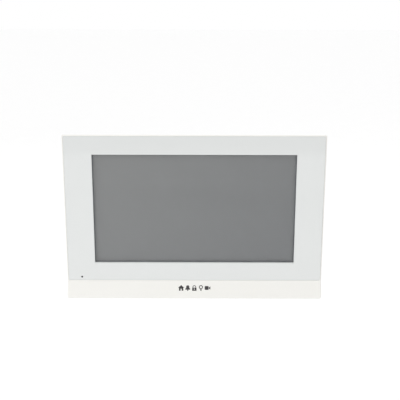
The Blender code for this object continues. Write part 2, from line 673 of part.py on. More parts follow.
def make_reset(body, button_body):
    x, z = RESET_AT
    switch = block("reset_switch", (x - 3.0, x + 3.0), (PARTS_Y, PARTS_Y + 3.5), (z - 3.0, z + 3.0))
    finish(switch, "black_plastic", body)
    base = PARTS_Y + 3.5 + 0.6
    stem = [(0.0, base), (2.1, base), (2.1, base + 1.0), (1.7, base + 1.2), (1.7, BACK - 1.1),
            (1.4, BACK - 0.8), (0.0, BACK - 0.8)]
    finish(turned("reset_button", RESET_AT, stem, 16), "blue_button", button_body)


# =============================== sound ===============================

def make_speaker(body):
    """The speaker faces the back wall's slots, on a foam ring."""
    flange = BACK_EDGE - 1.2
    basket = [(15.9, flange), (16.0, flange - 0.7), (14.8, flange - 1.2), (11.6, flange - 5.4),
              (8.8, flange - 5.4), (8.8, flange - 6.1), (12.2, flange - 6.1), (15.8, flange - 1.2),
              (SPEAKER_RADIUS, flange - 1.0), (SPEAKER_RADIUS, flange)]
    frame = turned("speaker_frame", SPEAKER_AT, basket[::-1], 24, closed=True)
    for number, place in enumerate(SPEAKER_SCREWS, 1):
        join(frame, disc(f"frame_ear_{number}", place, 4.2, (flange - 0.9, flange - 0.1), 16))
    for number, place in enumerate(SPEAKER_SCREWS, 1):
        cut(frame, disc(f"frame_hole_{number}", place, 1.5, (flange - 2.0, flange + 1.0), 12))
    finish(frame, "black_plastic", body)

    cone = [(0.0, flange - 4.8), (6.2, flange - 4.8), (14.2, flange - 1.2), (14.2, flange - 0.8),
            (6.0, flange - 4.2), (4.0, flange - 3.5), (0.0, flange - 2.9)]
    finish(turned("speaker_cone", SPEAKER_AT, cone, 24), "paper_cone", body)
    magnet = (flange - 9.1, flange - 6.4)
    finish(disc("speaker_magnet", SPEAKER_AT, 10.5, magnet, 24), "ferrite", body)
    foam = extrusion("speaker_gasket", [ring_points(SPEAKER_AT, 17.2, 24),
                                        ring_points(SPEAKER_AT, 15.4, 24)], "y",
                     (BACK_EDGE - 0.9, BACK_EDGE - GAP))
    finish(foam, "black_foam", body)


def make_microphone(body):
    """A capsule in a rubber boot whose snout reaches the pin hole in the glass."""
    snout = GLASS_BACK + GAP
    flange = LEDGE_Y[1] + GAP
    boot = [(0.7, snout), (1.3, snout), (1.3, flange), (4.4, flange), (4.4, flange + 4.6),
            (3.3, flange + 4.6), (3.3, flange + 0.6), (0.7, flange + 0.6)]
    finish(turned("mic_boot", MIC_AT, boot, 20, closed=True), "black_rubber", body)
    finish(disc("microphone", MIC_AT, 3.0, (flange + 0.9, flange + 3.6), 20), "tin_steel", body)


def make_lead(name, points, body):
    """A thin lead held inside the case, as one tube along a smooth curve."""
    path = smooth_points(points, 5)
    curve = bpy.data.curves.new(name, "CURVE")
    curve.dimensions = "3D"
    curve.bevel_depth = 0.8 * MM
    curve.bevel_resolution = 2
    curve.use_fill_caps = True
    spline = curve.splines.new("POLY")
    spline.points.add(len(path) - 1)
    for point, place in zip(spline.points, path):
        point.co = (*(place * MM), 1.0)
    source = bpy.data.objects.new(name + "_route", curve)
    bpy.context.scene.collection.objects.link(source)
    finish(as_mesh(source, name), "lead_jacket", body)


def make_leads(body):
    mic_x, mic_z = MIC_AT
    make_lead("mic_lead", [(mic_x, -14.2, mic_z), (mic_x, -12.6, mic_z), (mic_x + 2.5, -10.8, mic_z + 2.5),
                           (-80.0, -10.2, -42.0), (-76.5, -10.4, -36.0), (-74.9, -10.4, -33.8)], body)
    speaker_x, speaker_z = SPEAKER_AT
    make_lead("speaker_lead", [(speaker_x, -8.0, speaker_z + 16.6), (speaker_x - 0.4, -8.6, speaker_z + 19.0),
                               (speaker_x - 2.4, -9.8, speaker_z + 23.0), (65.6, -10.4, -5.4),
                               (65.0, -10.4, -3.2)], body)


# =============================== fasteners ===============================

def make_screw(name, at, head_y, head_radius, shaft_radius, tip_y, material, body):
    """A pan-head screw driven towards the front: its head spans head_y, its tip is at tip_y."""
    front, back = head_y
    profile = [(0.0, tip_y), (shaft_radius, tip_y), (shaft_radius, front), (head_radius, front),
               (head_radius, back - 0.4), (head_radius - 0.5, back), (0.0, back)]
    finish(turned(name, at, profile, 14), material, body)


def make_fasteners(body):
    for number, place in enumerate(COVER_SCREWS, 1):
        make_screw(f"cover_screw_{number}", place, (-4.3, -2.3), 2.7, 1.3, -16.0, "zinc_steel", body)
    for number, place in enumerate(CHASSIS_SCREWS, 1):
        seat = CHASSIS_Y[1] + GAP
        make_screw(f"chassis_screw_{number}", place, (seat, seat + 1.3), 2.4, 1.2, LEDGE_Y[1] - 0.7,
                   "zinc_steel", body)
    for number, place in enumerate(BOARD_SCREWS, 1):
        make_screw(f"board_screw_{number}", place, (PARTS_Y, PARTS_Y + 1.3), 2.4, 1.2, CHASSIS_Y[0] + 0.2,
                   "zinc_steel", body)
    for number, place in enumerate(SPEAKER_SCREWS, 1):
        seat = BACK_EDGE - 1.2 - 1.2
        head = [(0.0, seat - 1.2), (1.9, seat - 1.2), (2.3, seat - 0.8), (2.3, seat), (1.0, seat),
                (1.0, -2.7), (0.0, -2.7)]
        finish(turned(f"speaker_screw_{number}", place, head, 14), "zinc_steel", body)


# =============================== assembly ===============================

clear_scene()
parts = new_collection("video_intercom_monitor")
cutters = new_collection("cutters")
materials = make_materials()

monitor = body_empty("monitor_on_hooks", (0.0, BACK, HOOK_PLACES[0][1]))
plug_slide = body_empty("plug_slide", (PLUG_X, middle((PARTS_Y, BACK_EDGE)), PLUG_BODY_Z[1]), monitor)
button_slide = body_empty("reset_slide", (RESET_AT[0], BACK, RESET_AT[1]), monitor)

make_wall_bracket()
make_rear_cover(monitor)
make_front_housing(monitor)
make_glass(monitor)
make_screen(monitor)
make_chassis(monitor)
make_flexes(monitor)
make_board(monitor)
make_components(monitor)
make_jack(monitor)
make_terminals(monitor, plug_slide)
make_reset(monitor, button_slide)
make_speaker(monitor)
make_microphone(monitor)
make_leads(monitor)
make_fasteners(monitor)
bpy.context.view_layer.update()
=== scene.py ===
import math

import bmesh
import bpy
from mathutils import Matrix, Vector


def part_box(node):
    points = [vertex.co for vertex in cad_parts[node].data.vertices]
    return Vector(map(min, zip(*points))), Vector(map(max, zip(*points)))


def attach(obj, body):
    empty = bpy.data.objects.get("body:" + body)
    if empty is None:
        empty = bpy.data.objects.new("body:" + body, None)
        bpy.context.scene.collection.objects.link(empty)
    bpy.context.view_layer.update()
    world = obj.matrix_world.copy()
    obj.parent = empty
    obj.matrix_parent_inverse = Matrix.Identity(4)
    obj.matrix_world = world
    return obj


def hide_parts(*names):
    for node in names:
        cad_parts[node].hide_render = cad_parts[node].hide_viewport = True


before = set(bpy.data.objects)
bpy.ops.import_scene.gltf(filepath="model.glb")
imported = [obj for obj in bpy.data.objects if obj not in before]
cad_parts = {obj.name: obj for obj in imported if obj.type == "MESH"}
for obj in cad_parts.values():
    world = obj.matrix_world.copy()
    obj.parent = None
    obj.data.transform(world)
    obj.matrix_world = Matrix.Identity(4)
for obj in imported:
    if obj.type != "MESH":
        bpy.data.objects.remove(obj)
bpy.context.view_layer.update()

mm = 0.001               # every size below is in millimetres, in the frame's own axes


def hexColour(code):
    # an sRGB hex value as linear RGBA
    levels = [int(code[i:i + 2], 16) / 255 for i in (0, 2, 4)]
    return tuple(v / 12.92 if v <= 0.04045 else ((v + 0.055) / 1.055) ** 2.4 for v in levels) + (1.0,)


def addNode(material, kind, settings=None, links=None):
    # settings are sockets or properties, links are sockets fed by an output, or by a node's first output
    node = material.node_tree.nodes.new("ShaderNode" + kind)
    for name, value in (settings or {}).items():
        if isinstance(name, int) or name in node.inputs:
            node.inputs[name].default_value = value
        else:
            setattr(node, name, value)
    for name, source in (links or {}).items():
        output = source.outputs[0] if isinstance(source, bpy.types.Node) else source
        material.node_tree.links.new(output, node.inputs[name])
    return node


def newMaterial(name):
    # an empty material, and the object coordinates that its patterns lie on
    material = bpy.data.materials.new(name)
    material.use_nodes = True
    material.node_tree.nodes.clear()
    return material, addNode(material, "TexCoord").outputs["Object"]


def near(a, b, within=0.02):
    return abs(a - b) < within


def span(at, half):
    # two limits, half a width to each side
    return at - half, at + half


def limits(node):
    # the low and the high corner of a CAD node, in mm
    return [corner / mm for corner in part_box(node)]


def centreOf(node):
    # the middle of a CAD node seen along Y, in mm
    low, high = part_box(node)
    return (low.x + high.x) / 2 / mm, (low.z + high.z) / 2 / mm


def middle(part):
    # the middle of a vertex, an edge or a face, in mm
    corners = [part] if isinstance(part, bmesh.types.BMVert) else part.verts
    return sum((corner.co for corner in corners), Vector()) / len(corners) / mm


def heading(edge):
    # the direction an edge runs in, with its signs dropped
    return Vector([abs(v) for v in (edge.verts[1].co - edge.verts[0].co).normalized()])


def onlySelect(piece):
    if bpy.context.object and bpy.context.object.mode != "OBJECT":
        bpy.ops.object.mode_set(mode="OBJECT")
    bpy.ops.object.select_all(action="DESELECT")
    if piece:
        piece.select_set(True)
        bpy.context.view_layer.objects.active = piece


def pick(piece, kind, test):
    # edit mode, with only the vertices, edges or faces that pass the test selected
    if piece.mode != "EDIT":
        onlySelect(piece)
        bpy.ops.object.mode_set(mode="EDIT")
    bpy.ops.mesh.select_mode(type=kind)
    bpy.ops.mesh.select_all(action="DESELECT")
    shape = bmesh.from_edit_mesh(piece.data)
    for part in {"VERT": shape.verts, "EDGE": shape.edges, "FACE": shape.faces}[kind]:
        if test(part):
            part.select_set(True)
    shape.select_flush_mode()
    bmesh.update_edit_mesh(piece.data)


def cutAcross(piece, axis, *places):
    # a cut right through the piece at each place along one axis
    normal = Vector([1.0 if letter == axis else 0.0 for letter in "xyz"])
    for at in places:
        pick(piece, "FACE", lambda face: True)
        bpy.ops.mesh.bisect(plane_co=normal * at * mm, plane_no=normal)


def move(x=0.0, y=0.0, z=0.0):
    bpy.ops.transform.translate(value=(x * mm, y * mm, z * mm))


def stretch(x=1.0, y=1.0, z=1.0, about=(0, 0, 0)):
    bpy.ops.transform.resize(value=(x, y, z), center_override=[v * mm for v in about])


def extrude(x=0.0, y=0.0, z=0.0):
    bpy.ops.mesh.extrude_region_move(TRANSFORM_OT_translate={"value": (x * mm, y * mm, z * mm)})


def roundOff(width, segments=3, clamp=True):
    bpy.ops.mesh.bevel(offset=width * mm, segments=segments, affect="EDGES", clamp_overlap=clamp)


def addBlock(name, x, y, z):
    # a cube between two limits on each axis
    onlySelect(None)
    spans = [sorted(pair) for pair in (x, y, z)]
    bpy.ops.mesh.primitive_cube_add(size=1, location=[(a + b) / 2 * mm for a, b in spans],
                                    scale=[(b - a) * mm for a, b in spans])
    bpy.ops.object.transform_apply(location=True, rotation=True, scale=True)
    piece = bpy.context.object
    piece.name = piece.data.name = name
    return piece


def addRod(name, at, radius, y, sides=32):
    # a round bar along Y, centred on the (x, z) point
    onlySelect(None)
    bpy.ops.mesh.primitive_cylinder_add(vertices=sides, radius=radius * mm, depth=abs(y[1] - y[0]) * mm,
                                        location=(at[0] * mm, (y[0] + y[1]) / 2 * mm, at[1] * mm),
                                        rotation=(math.pi / 2, 0, 0))
    bpy.ops.object.transform_apply(location=True, rotation=True, scale=True)
    piece = bpy.context.object
    piece.name = piece.data.name = name
    return piece


def addSlot(name, x, y, z, corner):
    # a block whose four edges along Y are rounded, to cut a slot with
    tool = addBlock(name, x, y, z)
    pick(tool, "EDGE", lambda edge: heading(edge).y > 0.9)
    roundOff(corner, 5)
    onlySelect(tool)
    return tool


def turnProfile(name, at, profile, sides=48):
    # one vertex is drawn along the profile, (radius, y) points, then spun about the line along Y at (x, z)
    onlySelect(None)
    bpy.ops.mesh.primitive_plane_add(size=mm, location=(0, 0, 0))
    piece = bpy.context.object
    piece.name = piece.data.name = name
    pick(piece, "VERT", lambda vertex: True)
    bpy.ops.mesh.merge(type="CENTER")
    radius, y = profile[0]
    move(at[0] + radius, y, at[1])
    for radiusNext, yNext in profile[1:]:
        bpy.ops.mesh.extrude_vertices_move(
            TRANSFORM_OT_translate={"value": ((radiusNext - radius) * mm, (yNext - y) * mm, 0)})
        radius, y = radiusNext, yNext
    bpy.ops.mesh.select_all(action="SELECT")
    bpy.ops.mesh.spin(steps=sides, angle=2 * math.pi, center=(at[0] * mm, 0, at[1] * mm), axis=(0, 1, 0))
    bpy.ops.mesh.select_all(action="SELECT")
    bpy.ops.mesh.remove_doubles(threshold=0.002 * mm)
    bpy.ops.mesh.delete_loose()
    bpy.ops.mesh.select_all(action="SELECT")
    bpy.ops.mesh.normals_make_consistent(inside=False)
    onlySelect(piece)
    return piece


def copyOf(piece, name, x=0.0, y=0.0, z=0.0, turn=0.0, about=(0, 0, 0)):
    # a copy with its own mesh, turned about a line along Y and moved
    onlySelect(piece)
    bpy.ops.object.duplicate(linked=False)
    made = bpy.context.object
    made.name = made.data.name = name
    pick(made, "VERT", lambda vertex: True)
    if turn:
        bpy.ops.transform.rotate(value=turn, orient_axis="Y", center_override=[v * mm for v in about])
    move(x, y, z)
    onlySelect(made)
    return made


def discard(piece):
    bpy.data.objects.remove(piece, do_unlink=True)


def joinAll(pieces, name):
    onlySelect(pieces[0])
    for piece in pieces[1:]:
        piece.select_set(True)
    if len(pieces) > 1:
        bpy.ops.object.join()
    made = bpy.context.object
    made.name = made.data.name = name
    return made


def applyStep(piece, kind, **settings):
    onlySelect(piece)
    step = piece.modifiers.new(kind.title(), kind)
    for name, value in settings.items():
        setattr(step, name, value)
    bpy.ops.object.modifier_apply(modifier=step.name)


def combine(piece, tool, operation="DIFFERENCE"):
    applyStep(piece, "BOOLEAN", operation=operation, solver="MANIFOLD", object=tool)
    discard(tool)


def repeatOf(model, name, shifts):
    # copies of a model shifted along x and z and joined into one piece; the model itself goes
    made = joinAll([copyOf(model, name, x=x, z=z) for x, z in shifts], name)
    discard(model)
    return made


def arc(centre, radii, steps, stepAngle):
    # points of a profile round an ellipse, from its widest towards its top, a step in degrees apart
    angles = [math.radians(stepAngle * step) for step in range(1, steps + 1)]
    return [(centre[0] + radii[0] * math.cos(a), centre[1] + radii[1] * math.sin(a)) for a in angles]


def dress(piece, names, choose):
    # several finishes on one piece: choose gives the place in the list of each face's finish
    piece.data.materials.clear()
    for name in names:
        piece.data.materials.append(finishes[name])
    for face in piece.data.polygons:
        face.material_index = choose(face, face.center / mm)


def finishPiece(piece, body, finish=None, nodes=(), angle=32):
    onlySelect(piece)
    bpy.ops.object.shade_smooth_by_angle(angle=math.radians(angle))
    applyStep(piece, "WEIGHTED_NORMAL", keep_sharp=True)     # flat faces stay flat beside rounded edges
    if finish:
        piece.data.materials.clear()
        piece.data.materials.append(finishes[finish])
    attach(piece, body)
    if nodes:
        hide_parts(*nodes)
    return piece


onlySelect(None)

camera = {"lens": 80.0, "place": (5.65, -675.01, 214.06), "tilt": 72.953, "roll": -0.08, "turn": 0.137}

cameraData = bpy.data.cameras.new("camera")
cameraData.lens = camera["lens"]
cameraData.sensor_width = 36.0
cameraObject = bpy.data.objects.new("camera", cameraData)
bpy.context.scene.collection.objects.link(cameraObject)
cameraObject.location = [v * mm for v in camera["place"]]
cameraObject.rotation_euler = [math.radians(camera[name]) for name in ("tilt", "roll", "turn")]
bpy.context.scene.camera = cameraObject
bpy.context.scene.view_settings.view_transform = "Standard"

studio = {
    "sky": 1.0,                      # even light from all round
    "floorLevel": -620.0,
    "floorSize": 14000.0,
    "lights": {                      # place in mm, size in mm, power in watts
        "keyLight": ((-1500, -1500, 1300), 1500, 8.5),
        "backLight": ((-900, 1900, 1100), 1500, 3.0),
    },
    "cards": {                       # black cards out of the camera's sight: limits along x, y and z
        "frontFlag": ((-1500, 1500), (-2310, -2300), (-520, -300)),
        "sideCard": ((900, 910), (-450, 100), (-200, 450)),
    },
}


def makeStudio():
    world = bpy.data.worlds.new("studioSky")
    bpy.context.scene.world = world
    world.use_nodes = True
    world.node_tree.nodes["Background"].inputs["Color"].default_value = hexColour("FFFFFF")
    world.node_tree.nodes["Background"].inputs["Strength"].default_value = studio["sky"]
    for name, (place, size, power) in studio["lights"].items():
        data = bpy.data.lights.new(name, "AREA")
        data.size = size * mm
        data.energy = power
        lamp = bpy.data.objects.new(name, data)
        bpy.context.scene.collection.objects.link(lamp)
        lamp.location = [v * mm for v in place]
        lamp.rotation_euler = (-lamp.location).to_track_quat("-Z", "Y").to_euler()

    # matt white paper: even, with a trace of tooth
    paper, place = newMaterial("whiteStudioPaper")
    tooth = addNode(paper, "TexNoise", {"Scale": 1000 / 60.0, "Detail": 2.0}, {"Vector": place})
    tone = addNode(paper, "Mix", {"data_type": "RGBA", 6: hexColour("FCFCFC"), 7: hexColour("FEFEFE")},
                   {0: tooth})
    shader = addNode(paper, "BsdfPrincipled", {"Roughness": 0.9}, {"Base Color": tone.outputs[2]})
    addNode(paper, "OutputMaterial", {}, {"Surface": shader})
    onlySelect(None)
    bpy.ops.mesh.primitive_plane_add(size=studio["floorSize"] * mm,
                                     location=(0, 0, studio["floorLevel"] * mm))
    floor = bpy.context.object
    floor.name = "studioFloor"
    floor.data.materials.append(paper)

    # black felt: takes the light out of one band of the reflections, and off the right-hand side
    felt = newMaterial("blackFelt")[0]
    shader = addNode(felt, "BsdfPrincipled", {"Base Color": hexColour("1C1C1C"), "Roughness": 1.0})
    addNode(felt, "OutputMaterial", {}, {"Surface": shader})
    for name, (x, y, z) in studio["cards"].items():
        card = addBlock(name, x, y, z)
        card.data.materials.append(felt)
        card.visible_camera = False
        card.visible_shadow = False


makeStudio()
print("stage: camera and studio")


def mouldedFinish(name, colour, shade, driftMm, grainMm, roughness, uneven, lift, depthMm, ior, more={}):
    # colour drifts slowly between two shades; fine grain lifts the surface and breaks the gloss
    material, place = newMaterial(name)
    spread = addNode(material, "Mapping", {"Scale": more.get("stretch", (1.0, 1.0, 1.0))},
                     {"Vector": place})
    drift = addNode(material, "TexNoise", {"Scale": 1000 / driftMm, "Detail": 3.0}, {"Vector": spread})
    grain = addNode(material, "TexNoise", {"Scale": 1000 / grainMm, "Detail": 2.0}, {"Vector": spread})
    tone = addNode(material, "Mix", {"data_type": "RGBA", 6: hexColour(colour), 7: hexColour(shade)},
                   {0: drift})
    gloss = addNode(material, "MapRange",
                    {"From Min": 0.3, "From Max": 0.7, "To Min": roughness - uneven,
                     "To Max": roughness + uneven}, {"Value": grain})
    bump = addNode(material, "Bump", {"Strength": lift, "Distance": depthMm * mm}, {"Height": grain})
    settings = {"IOR": ior} if ior else {"Metallic": 1.0}
    settings.update({key: value for key, value in more.items() if key != "stretch"})
    shader = addNode(material, "BsdfPrincipled", settings,
                     {"Base Color": tone.outputs[2], "Roughness": gloss, "Normal": bump})
    addNode(material, "OutputMaterial", {}, {"Surface": shader})
    return material


looks = {
    # for each slot: name, two colours, the size in mm of the drift between them and of the grain, roughness
    # and how uneven it is, strength and depth in mm of the relief, index of refraction (none for a metal)
    # ABS moulded against a spark-finished tool: warm white, soft highlight, fine sand grain
    "white_abs": ("mouldedAbs", "F0EFEB", "EEEDE8", 40.0, 0.35, 0.46, 0.05, 0.25, 0.03, 1.53),
    # acrylic light guide: milky, clean and fairly glossy
    "diffuser": ("castAcrylic", "E4E9EC", "DDE3E8", 20.0, 0.6, 0.3, 0.03, 0.1, 0.01, 1.49),
    # closed-cell foam tape: dead matt, with open cells about half a millimetre wide
    "black_foam": ("foamTape", "1B1B1C", "262628", 6.0, 0.5, 0.95, 0.04, 0.9, 0.15, 1.45),
    # moulded silicone: dark, soft sheen, dust caught in it
    "black_rubber": ("mouldedSilicone", "1D1D1E", "29292A", 3.0, 0.4, 0.72, 0.08, 0.3, 0.03, 1.41,
                     {"Sheen Weight": 0.3}),
    # cold-rolled steel, zinc plated: cool grey, rolled along X, cloudy where the plating is thicker
    "zinc_steel": ("zincPlatedSteel", "C3C7CA", "AEB1B2", 9.0, 0.6, 0.36, 0.08, 0.3, 0.02, None,
                   {"stretch": (0.35, 1.0, 1.0)}),
    # thin steel sheet, tin plated: brighter and whiter than the zinc, with soft smears
    "tin_steel": ("tinPlatedSteel", "D6D5D1", "C4C3BE", 5.0, 0.8, 0.27, 0.07, 0.2, 0.015, None),
    # glass-filled polyamide, terminal green: satin, with short fibres just under the skin
    "green_plastic": ("greenPolyamide", "1F7A38", "19692F", 4.0, 0.5, 0.48, 0.07, 0.3, 0.03, 1.53,
                      {"stretch": (1.0, 1.0, 0.5)}),
    # glass-filled polyamide, black: satin with a light fibre bloom
    "black_plastic": ("blackPolyamide", "1E1F20", "2A2B2C", 4.0, 0.5, 0.5, 0.08, 0.3, 0.03, 1.53),
    # unfilled nylon: ivory and slightly waxy
    "ivory_plastic": ("ivoryNylon", "E6DEC6", "DDD3B6", 5.0, 0.6, 0.42, 0.06, 0.2, 0.02, 1.53,
                      {"Subsurface Weight": 0.1, "Subsurface Radius": (0.002, 0.0016, 0.001)}),
    # transfer-moulded epoxy: charcoal, matt, peppered with filler
    "chip_epoxy": ("mouldedEpoxy", "232426", "313235", 1.5, 0.2, 0.62, 0.08, 0.4, 0.02, 1.55),
    # drawn aluminium can: bright, with fine rings from the die
    "capacitor_can": ("drawnAluminium", "CDD0D3", "BCC0C4", 3.0, 0.4, 0.26, 0.06, 0.2, 0.015, None,
                      {"stretch": (0.4, 2.0, 0.4)}),
    # sintered ferrite: near black, stony and dull
    "ferrite": ("sinteredFerrite", "2B2B2D", "3A3A3C", 2.0, 0.3, 0.74, 0.08, 0.5, 0.05, 1.9),
    # doped paper: black, fibrous and matt
    "paper_cone": ("dopedPaper", "1F1E1D", "2F2D2B", 2.5, 0.5, 0.88, 0.06, 0.7, 0.08, 1.45,
                   {"Sheen Weight": 0.25}),
    # PVC lead jacket: black and slightly greasy
    "lead_jacket": ("extrudedPvc", "1C1C1D", "252526", 6.0, 0.7, 0.5, 0.05, 0.15, 0.02, 1.53),
    # acetal: blue, dense and smooth, a little waxy
    "blue_button": ("blueAcetal", "2B4E9A", "26468B", 2.0, 0.4, 0.36, 0.05, 0.15, 0.01, 1.48),
    # gold flash over nickel on spring bronze: warm and bright
    "gold": ("goldPlatedBronze", "E3BC62", "D4A94E", 1.5, 0.3, 0.24, 0.05, 0.15, 0.01, None),
    # pad-printed ink: flat charcoal with a slightly uneven film
    "print": ("padPrintInk", "322F31", "3B383A", 1.0, 0.25, 0.55, 0.05, 0.15, 0.01, 1.5),
    # frame ink round the active area, greyed by the polariser over it: a shade darker, with a faint blue cast
    "matrix": ("frameInk", "6E7074", "67696E", 5.0, 0.4, 0.4, 0.05, 0.1, 0.01, 1.5),
}
finishes = {slot: mouldedFinish(*look) for slot, look in looks.items()}


def makeSolderMask():
    # glass-epoxy board under gloss solder mask: green, copper tracks showing lighter, tinned vias
    look = {"mask": "0E5A34", "overCopper": "1C7A4A", "via": "C9CBC6", "trackPitchMm": 1.4, "viaPitchMm": 3.4}
    material, place = newMaterial("solderMaskedBoard")
    flat = addNode(material, "Mapping", {"Rotation": (math.pi / 2, 0.0, 0.0)}, {"Vector": place})
    tracks = addNode(material, "TexBrick",
                     {"Scale": 1000 / look["trackPitchMm"], "Mortar Size": 0.12, "Brick Width": 7.0,
                      "Row Height": 1.0, "Mortar Smooth": 0.1, "Color1": hexColour(look["mask"]),
                      "Color2": hexColour(look["mask"]), "Mortar": hexColour(look["overCopper"])},
                     {"Vector": flat})
    cells = addNode(material, "TexVoronoi", {"Scale": 1000 / look["viaPitchMm"]}, {"Vector": flat})
    isVia = addNode(material, "Math", {"operation": "LESS_THAN", 1: 0.12},
                    {0: cells.outputs["Distance"]})
    tone = addNode(material, "Mix", {"data_type": "RGBA", 7: hexColour(look["via"])},
                   {0: isVia, 6: tracks.outputs["Color"]})
    bump = addNode(material, "Bump", {"Strength": 0.5, "Distance": 0.04 * mm},
                   {"Height": tracks.outputs["Fac"]})
    shader = addNode(material, "BsdfPrincipled", {"Roughness": 0.32, "IOR": 1.52},
                     {"Base Color": tone.outputs[2], "Metallic": isVia, "Normal": bump})
    addNode(material, "OutputMaterial", {}, {"Surface": shader})
    return material


def makePolyimide():
    # polyimide film over etched copper: amber, with a stripe at each track
    look = {"film": "A8651B", "overCopper": "C98A33", "pitchMm": 1.0}
    material, place = newMaterial("polyimideFilm")
    stripes = addNode(material, "TexWave",
                      {"wave_type": "BANDS", "bands_direction": "X", "Scale": math.pi * 100 / look["pitchMm"],
                       "Distortion": 0.0}, {"Vector": place})
    tone = addNode(material, "Mix",
                   {"data_type": "RGBA", 6: hexColour(look["film"]), 7: hexColour(look["overCopper"])},
                   {0: stripes.outputs["Fac"]})
    bump = addNode(material, "Bump", {"Strength": 0.4, "Distance": 0.03 * mm},
                   {"Height": stripes.outputs["Fac"]})
    shader = addNode(material, "BsdfPrincipled", {"Roughness": 0.33, "IOR": 1.7},
                     {"Base Color": tone.outputs[2], "Normal": bump})
    addNode(material, "OutputMaterial", {}, {"Surface": shader})
    return material


def makePrintedGlass():
    # float glass printed white behind: cool white, deep gloss from the polished face
    look = {"ink": "E1E3E2", "shade": "DFE1E0", "patchMm": 30.0, "ior": 1.52}
    material, place = newMaterial("backPrintedGlass")
    drift = addNode(material, "TexNoise", {"Scale": 1000 / look["patchMm"], "Detail": 2.0},
                    {"Vector": place})
    tone = addNode(material, "Mix",
                   {"data_type": "RGBA", 6: hexColour(look["ink"]), 7: hexColour(look["shade"])},
                   {0: drift})
    ripple = addNode(material, "TexNoise", {"Scale": 1000 / 90.0, "Detail": 1.0}, {"Vector": place})
    bump = addNode(material, "Bump", {"Strength": 0.15, "Distance": 0.03 * mm}, {"Height": ripple})
    shader = addNode(material, "BsdfPrincipled", {"Roughness": 0.04, "IOR": look["ior"]},
                     {"Base Color": tone.outputs[2], "Normal": bump})
    addNode(material, "OutputMaterial", {}, {"Surface": shader})
    return material


def makeClearGlass():
    # polished float glass pane: clear with a green trace, mirror gloss that grows at low angles
    material, place = newMaterial("clearFloatGlass")
    clear = addNode(material, "BsdfTransparent", {"Color": hexColour("FBFCFC")})
    ripple = addNode(material, "TexNoise", {"Scale": 1000 / 90.0, "Detail": 1.0}, {"Vector": place})
    bump = addNode(material, "Bump", {"Strength": 0.15, "Distance": 0.03 * mm}, {"Height": ripple})
    gloss = addNode(material, "BsdfGlossy", {"Color": hexColour("FFFFFF"), "Roughness": 0.03},
                    {"Normal": bump})
    edge = addNode(material, "Fresnel", {"IOR": 1.52})
    side = addNode(material, "NewGeometry")
    # light that leaves the pane is let straight out, so only the side it enters by reflects
    share = addNode(material, "Math", {"operation": "SUBTRACT", "use_clamp": True},
                    {0: edge, 1: side.outputs["Backfacing"]})
    both = addNode(material, "MixShader", {}, {0: share, 1: clear, 2: gloss})
    addNode(material, "OutputMaterial", {}, {"Surface": both})
    return material


def makeGlassEdge():
    # ground and polished glass edge: pale sea green, finely frosted
    look = {"colour": "D3E0DA", "shade": "C3D3CB", "grainMm": 0.3}
    material, place = newMaterial("groundGlassEdge")
    grain = addNode(material, "TexNoise", {"Scale": 1000 / look["grainMm"], "Detail": 2.0},
                    {"Vector": place})
    tone = addNode(material, "Mix",
                   {"data_type": "RGBA", 6: hexColour(look["colour"]), 7: hexColour(look["shade"])},
                   {0: grain})
    shader = addNode(material, "BsdfPrincipled", {"Roughness": 0.25, "IOR": 1.52},
                     {"Base Color": tone.outputs[2]})
    addNode(material, "OutputMaterial", {}, {"Surface": shader})
    return material


def makePolariser():
    # anti-glare polariser over an unlit display: mid grey, hazy reflection, faint sparkle and dot rows
    look = {"colour": "8A8989", "shade": "767678", "dotRowMm": 1.2, "sparkleMm": 0.4, "acrossMm": 190.0}
    material, place = newMaterial("antiGlarePolariser")
    # painted shade: the grey is a shade lighter towards the upper left corner and darker towards the lower
    # right, standing in for the fall of light across the screen
    corner = addNode(material, "Mapping",
                     {"Location": (0.5, 0.0, 0.0), "Rotation": (0.0, math.radians(-52.0), 0.0),
                      "Scale": [1000 / look["acrossMm"]] * 3}, {"Vector": place})
    drift = addNode(material, "TexGradient", {}, {"Vector": corner})
    tone = addNode(material, "Mix",
                   {"data_type": "RGBA", 6: hexColour(look["colour"]), 7: hexColour(look["shade"])},
                   {0: drift.outputs["Fac"]})
    # real dot rows are 0.14 mm apart; they are drawn coarser so that they can show at all
    rows = addNode(material, "TexWave",
                   {"wave_type": "BANDS", "bands_direction": "Z", "Scale": math.pi * 100 / look["dotRowMm"],
                    "Distortion": 0.0}, {"Vector": place})
    sparkle = addNode(material, "TexNoise", {"Scale": 1000 / look["sparkleMm"], "Detail": 2.0},
                      {"Vector": place})
    faint = addNode(material, "Math", {"operation": "MULTIPLY", 1: 0.08}, {0: rows.outputs["Fac"]})
    height = addNode(material, "Math", {"operation": "ADD"}, {0: sparkle, 1: faint})
    bump = addNode(material, "Bump", {"Strength": 0.2, "Distance": 0.01 * mm}, {"Height": height})
    shader = addNode(material, "BsdfPrincipled", {"Roughness": 0.42, "IOR": 1.5},
                     {"Base Color": tone.outputs[2], "Normal": bump})
    addNode(material, "OutputMaterial", {}, {"Surface": shader})
    return material


finishes["green_board"] = makeSolderMask()
finishes["amber_film"] = makePolyimide()
finishes["white_glass"] = makePrintedGlass()
finishes["clearGlass"] = makeClearGlass()
finishes["glassEdge"] = makeGlassEdge()
finishes["screen_grey"] = makePolariser()

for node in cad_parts.values():
    for slot in node.material_slots:
        slot.material = finishes[slot.material.name]
print("stage: finishes")

# the case: limits that the front housing and the rear cover share, in mm
case = {
    "halfWidth": 100.0, "top": 65.0, "front": -23.0, "chinTop": -52.9, "footY": -28.95, "footZ": -65.15,
    "taperStart": -21.8, "taperDegrees": 15.0, "split": -8.8, "gap": 0.3, "wall": 2.0,
    "backEdge": -3.5, "back": -1.5, "underBackZ": -59.0, "underSlope": 0.251,
}


def taper(y):
    # how far the sides and the top have drawn in at depth y
    return max(0.0, y - case["taperStart"]) * math.tan(math.radians(case["taperDegrees"]))


def underside(y):
    return case["underBackZ"] + case["underSlope"] * (y - case["backEdge"])


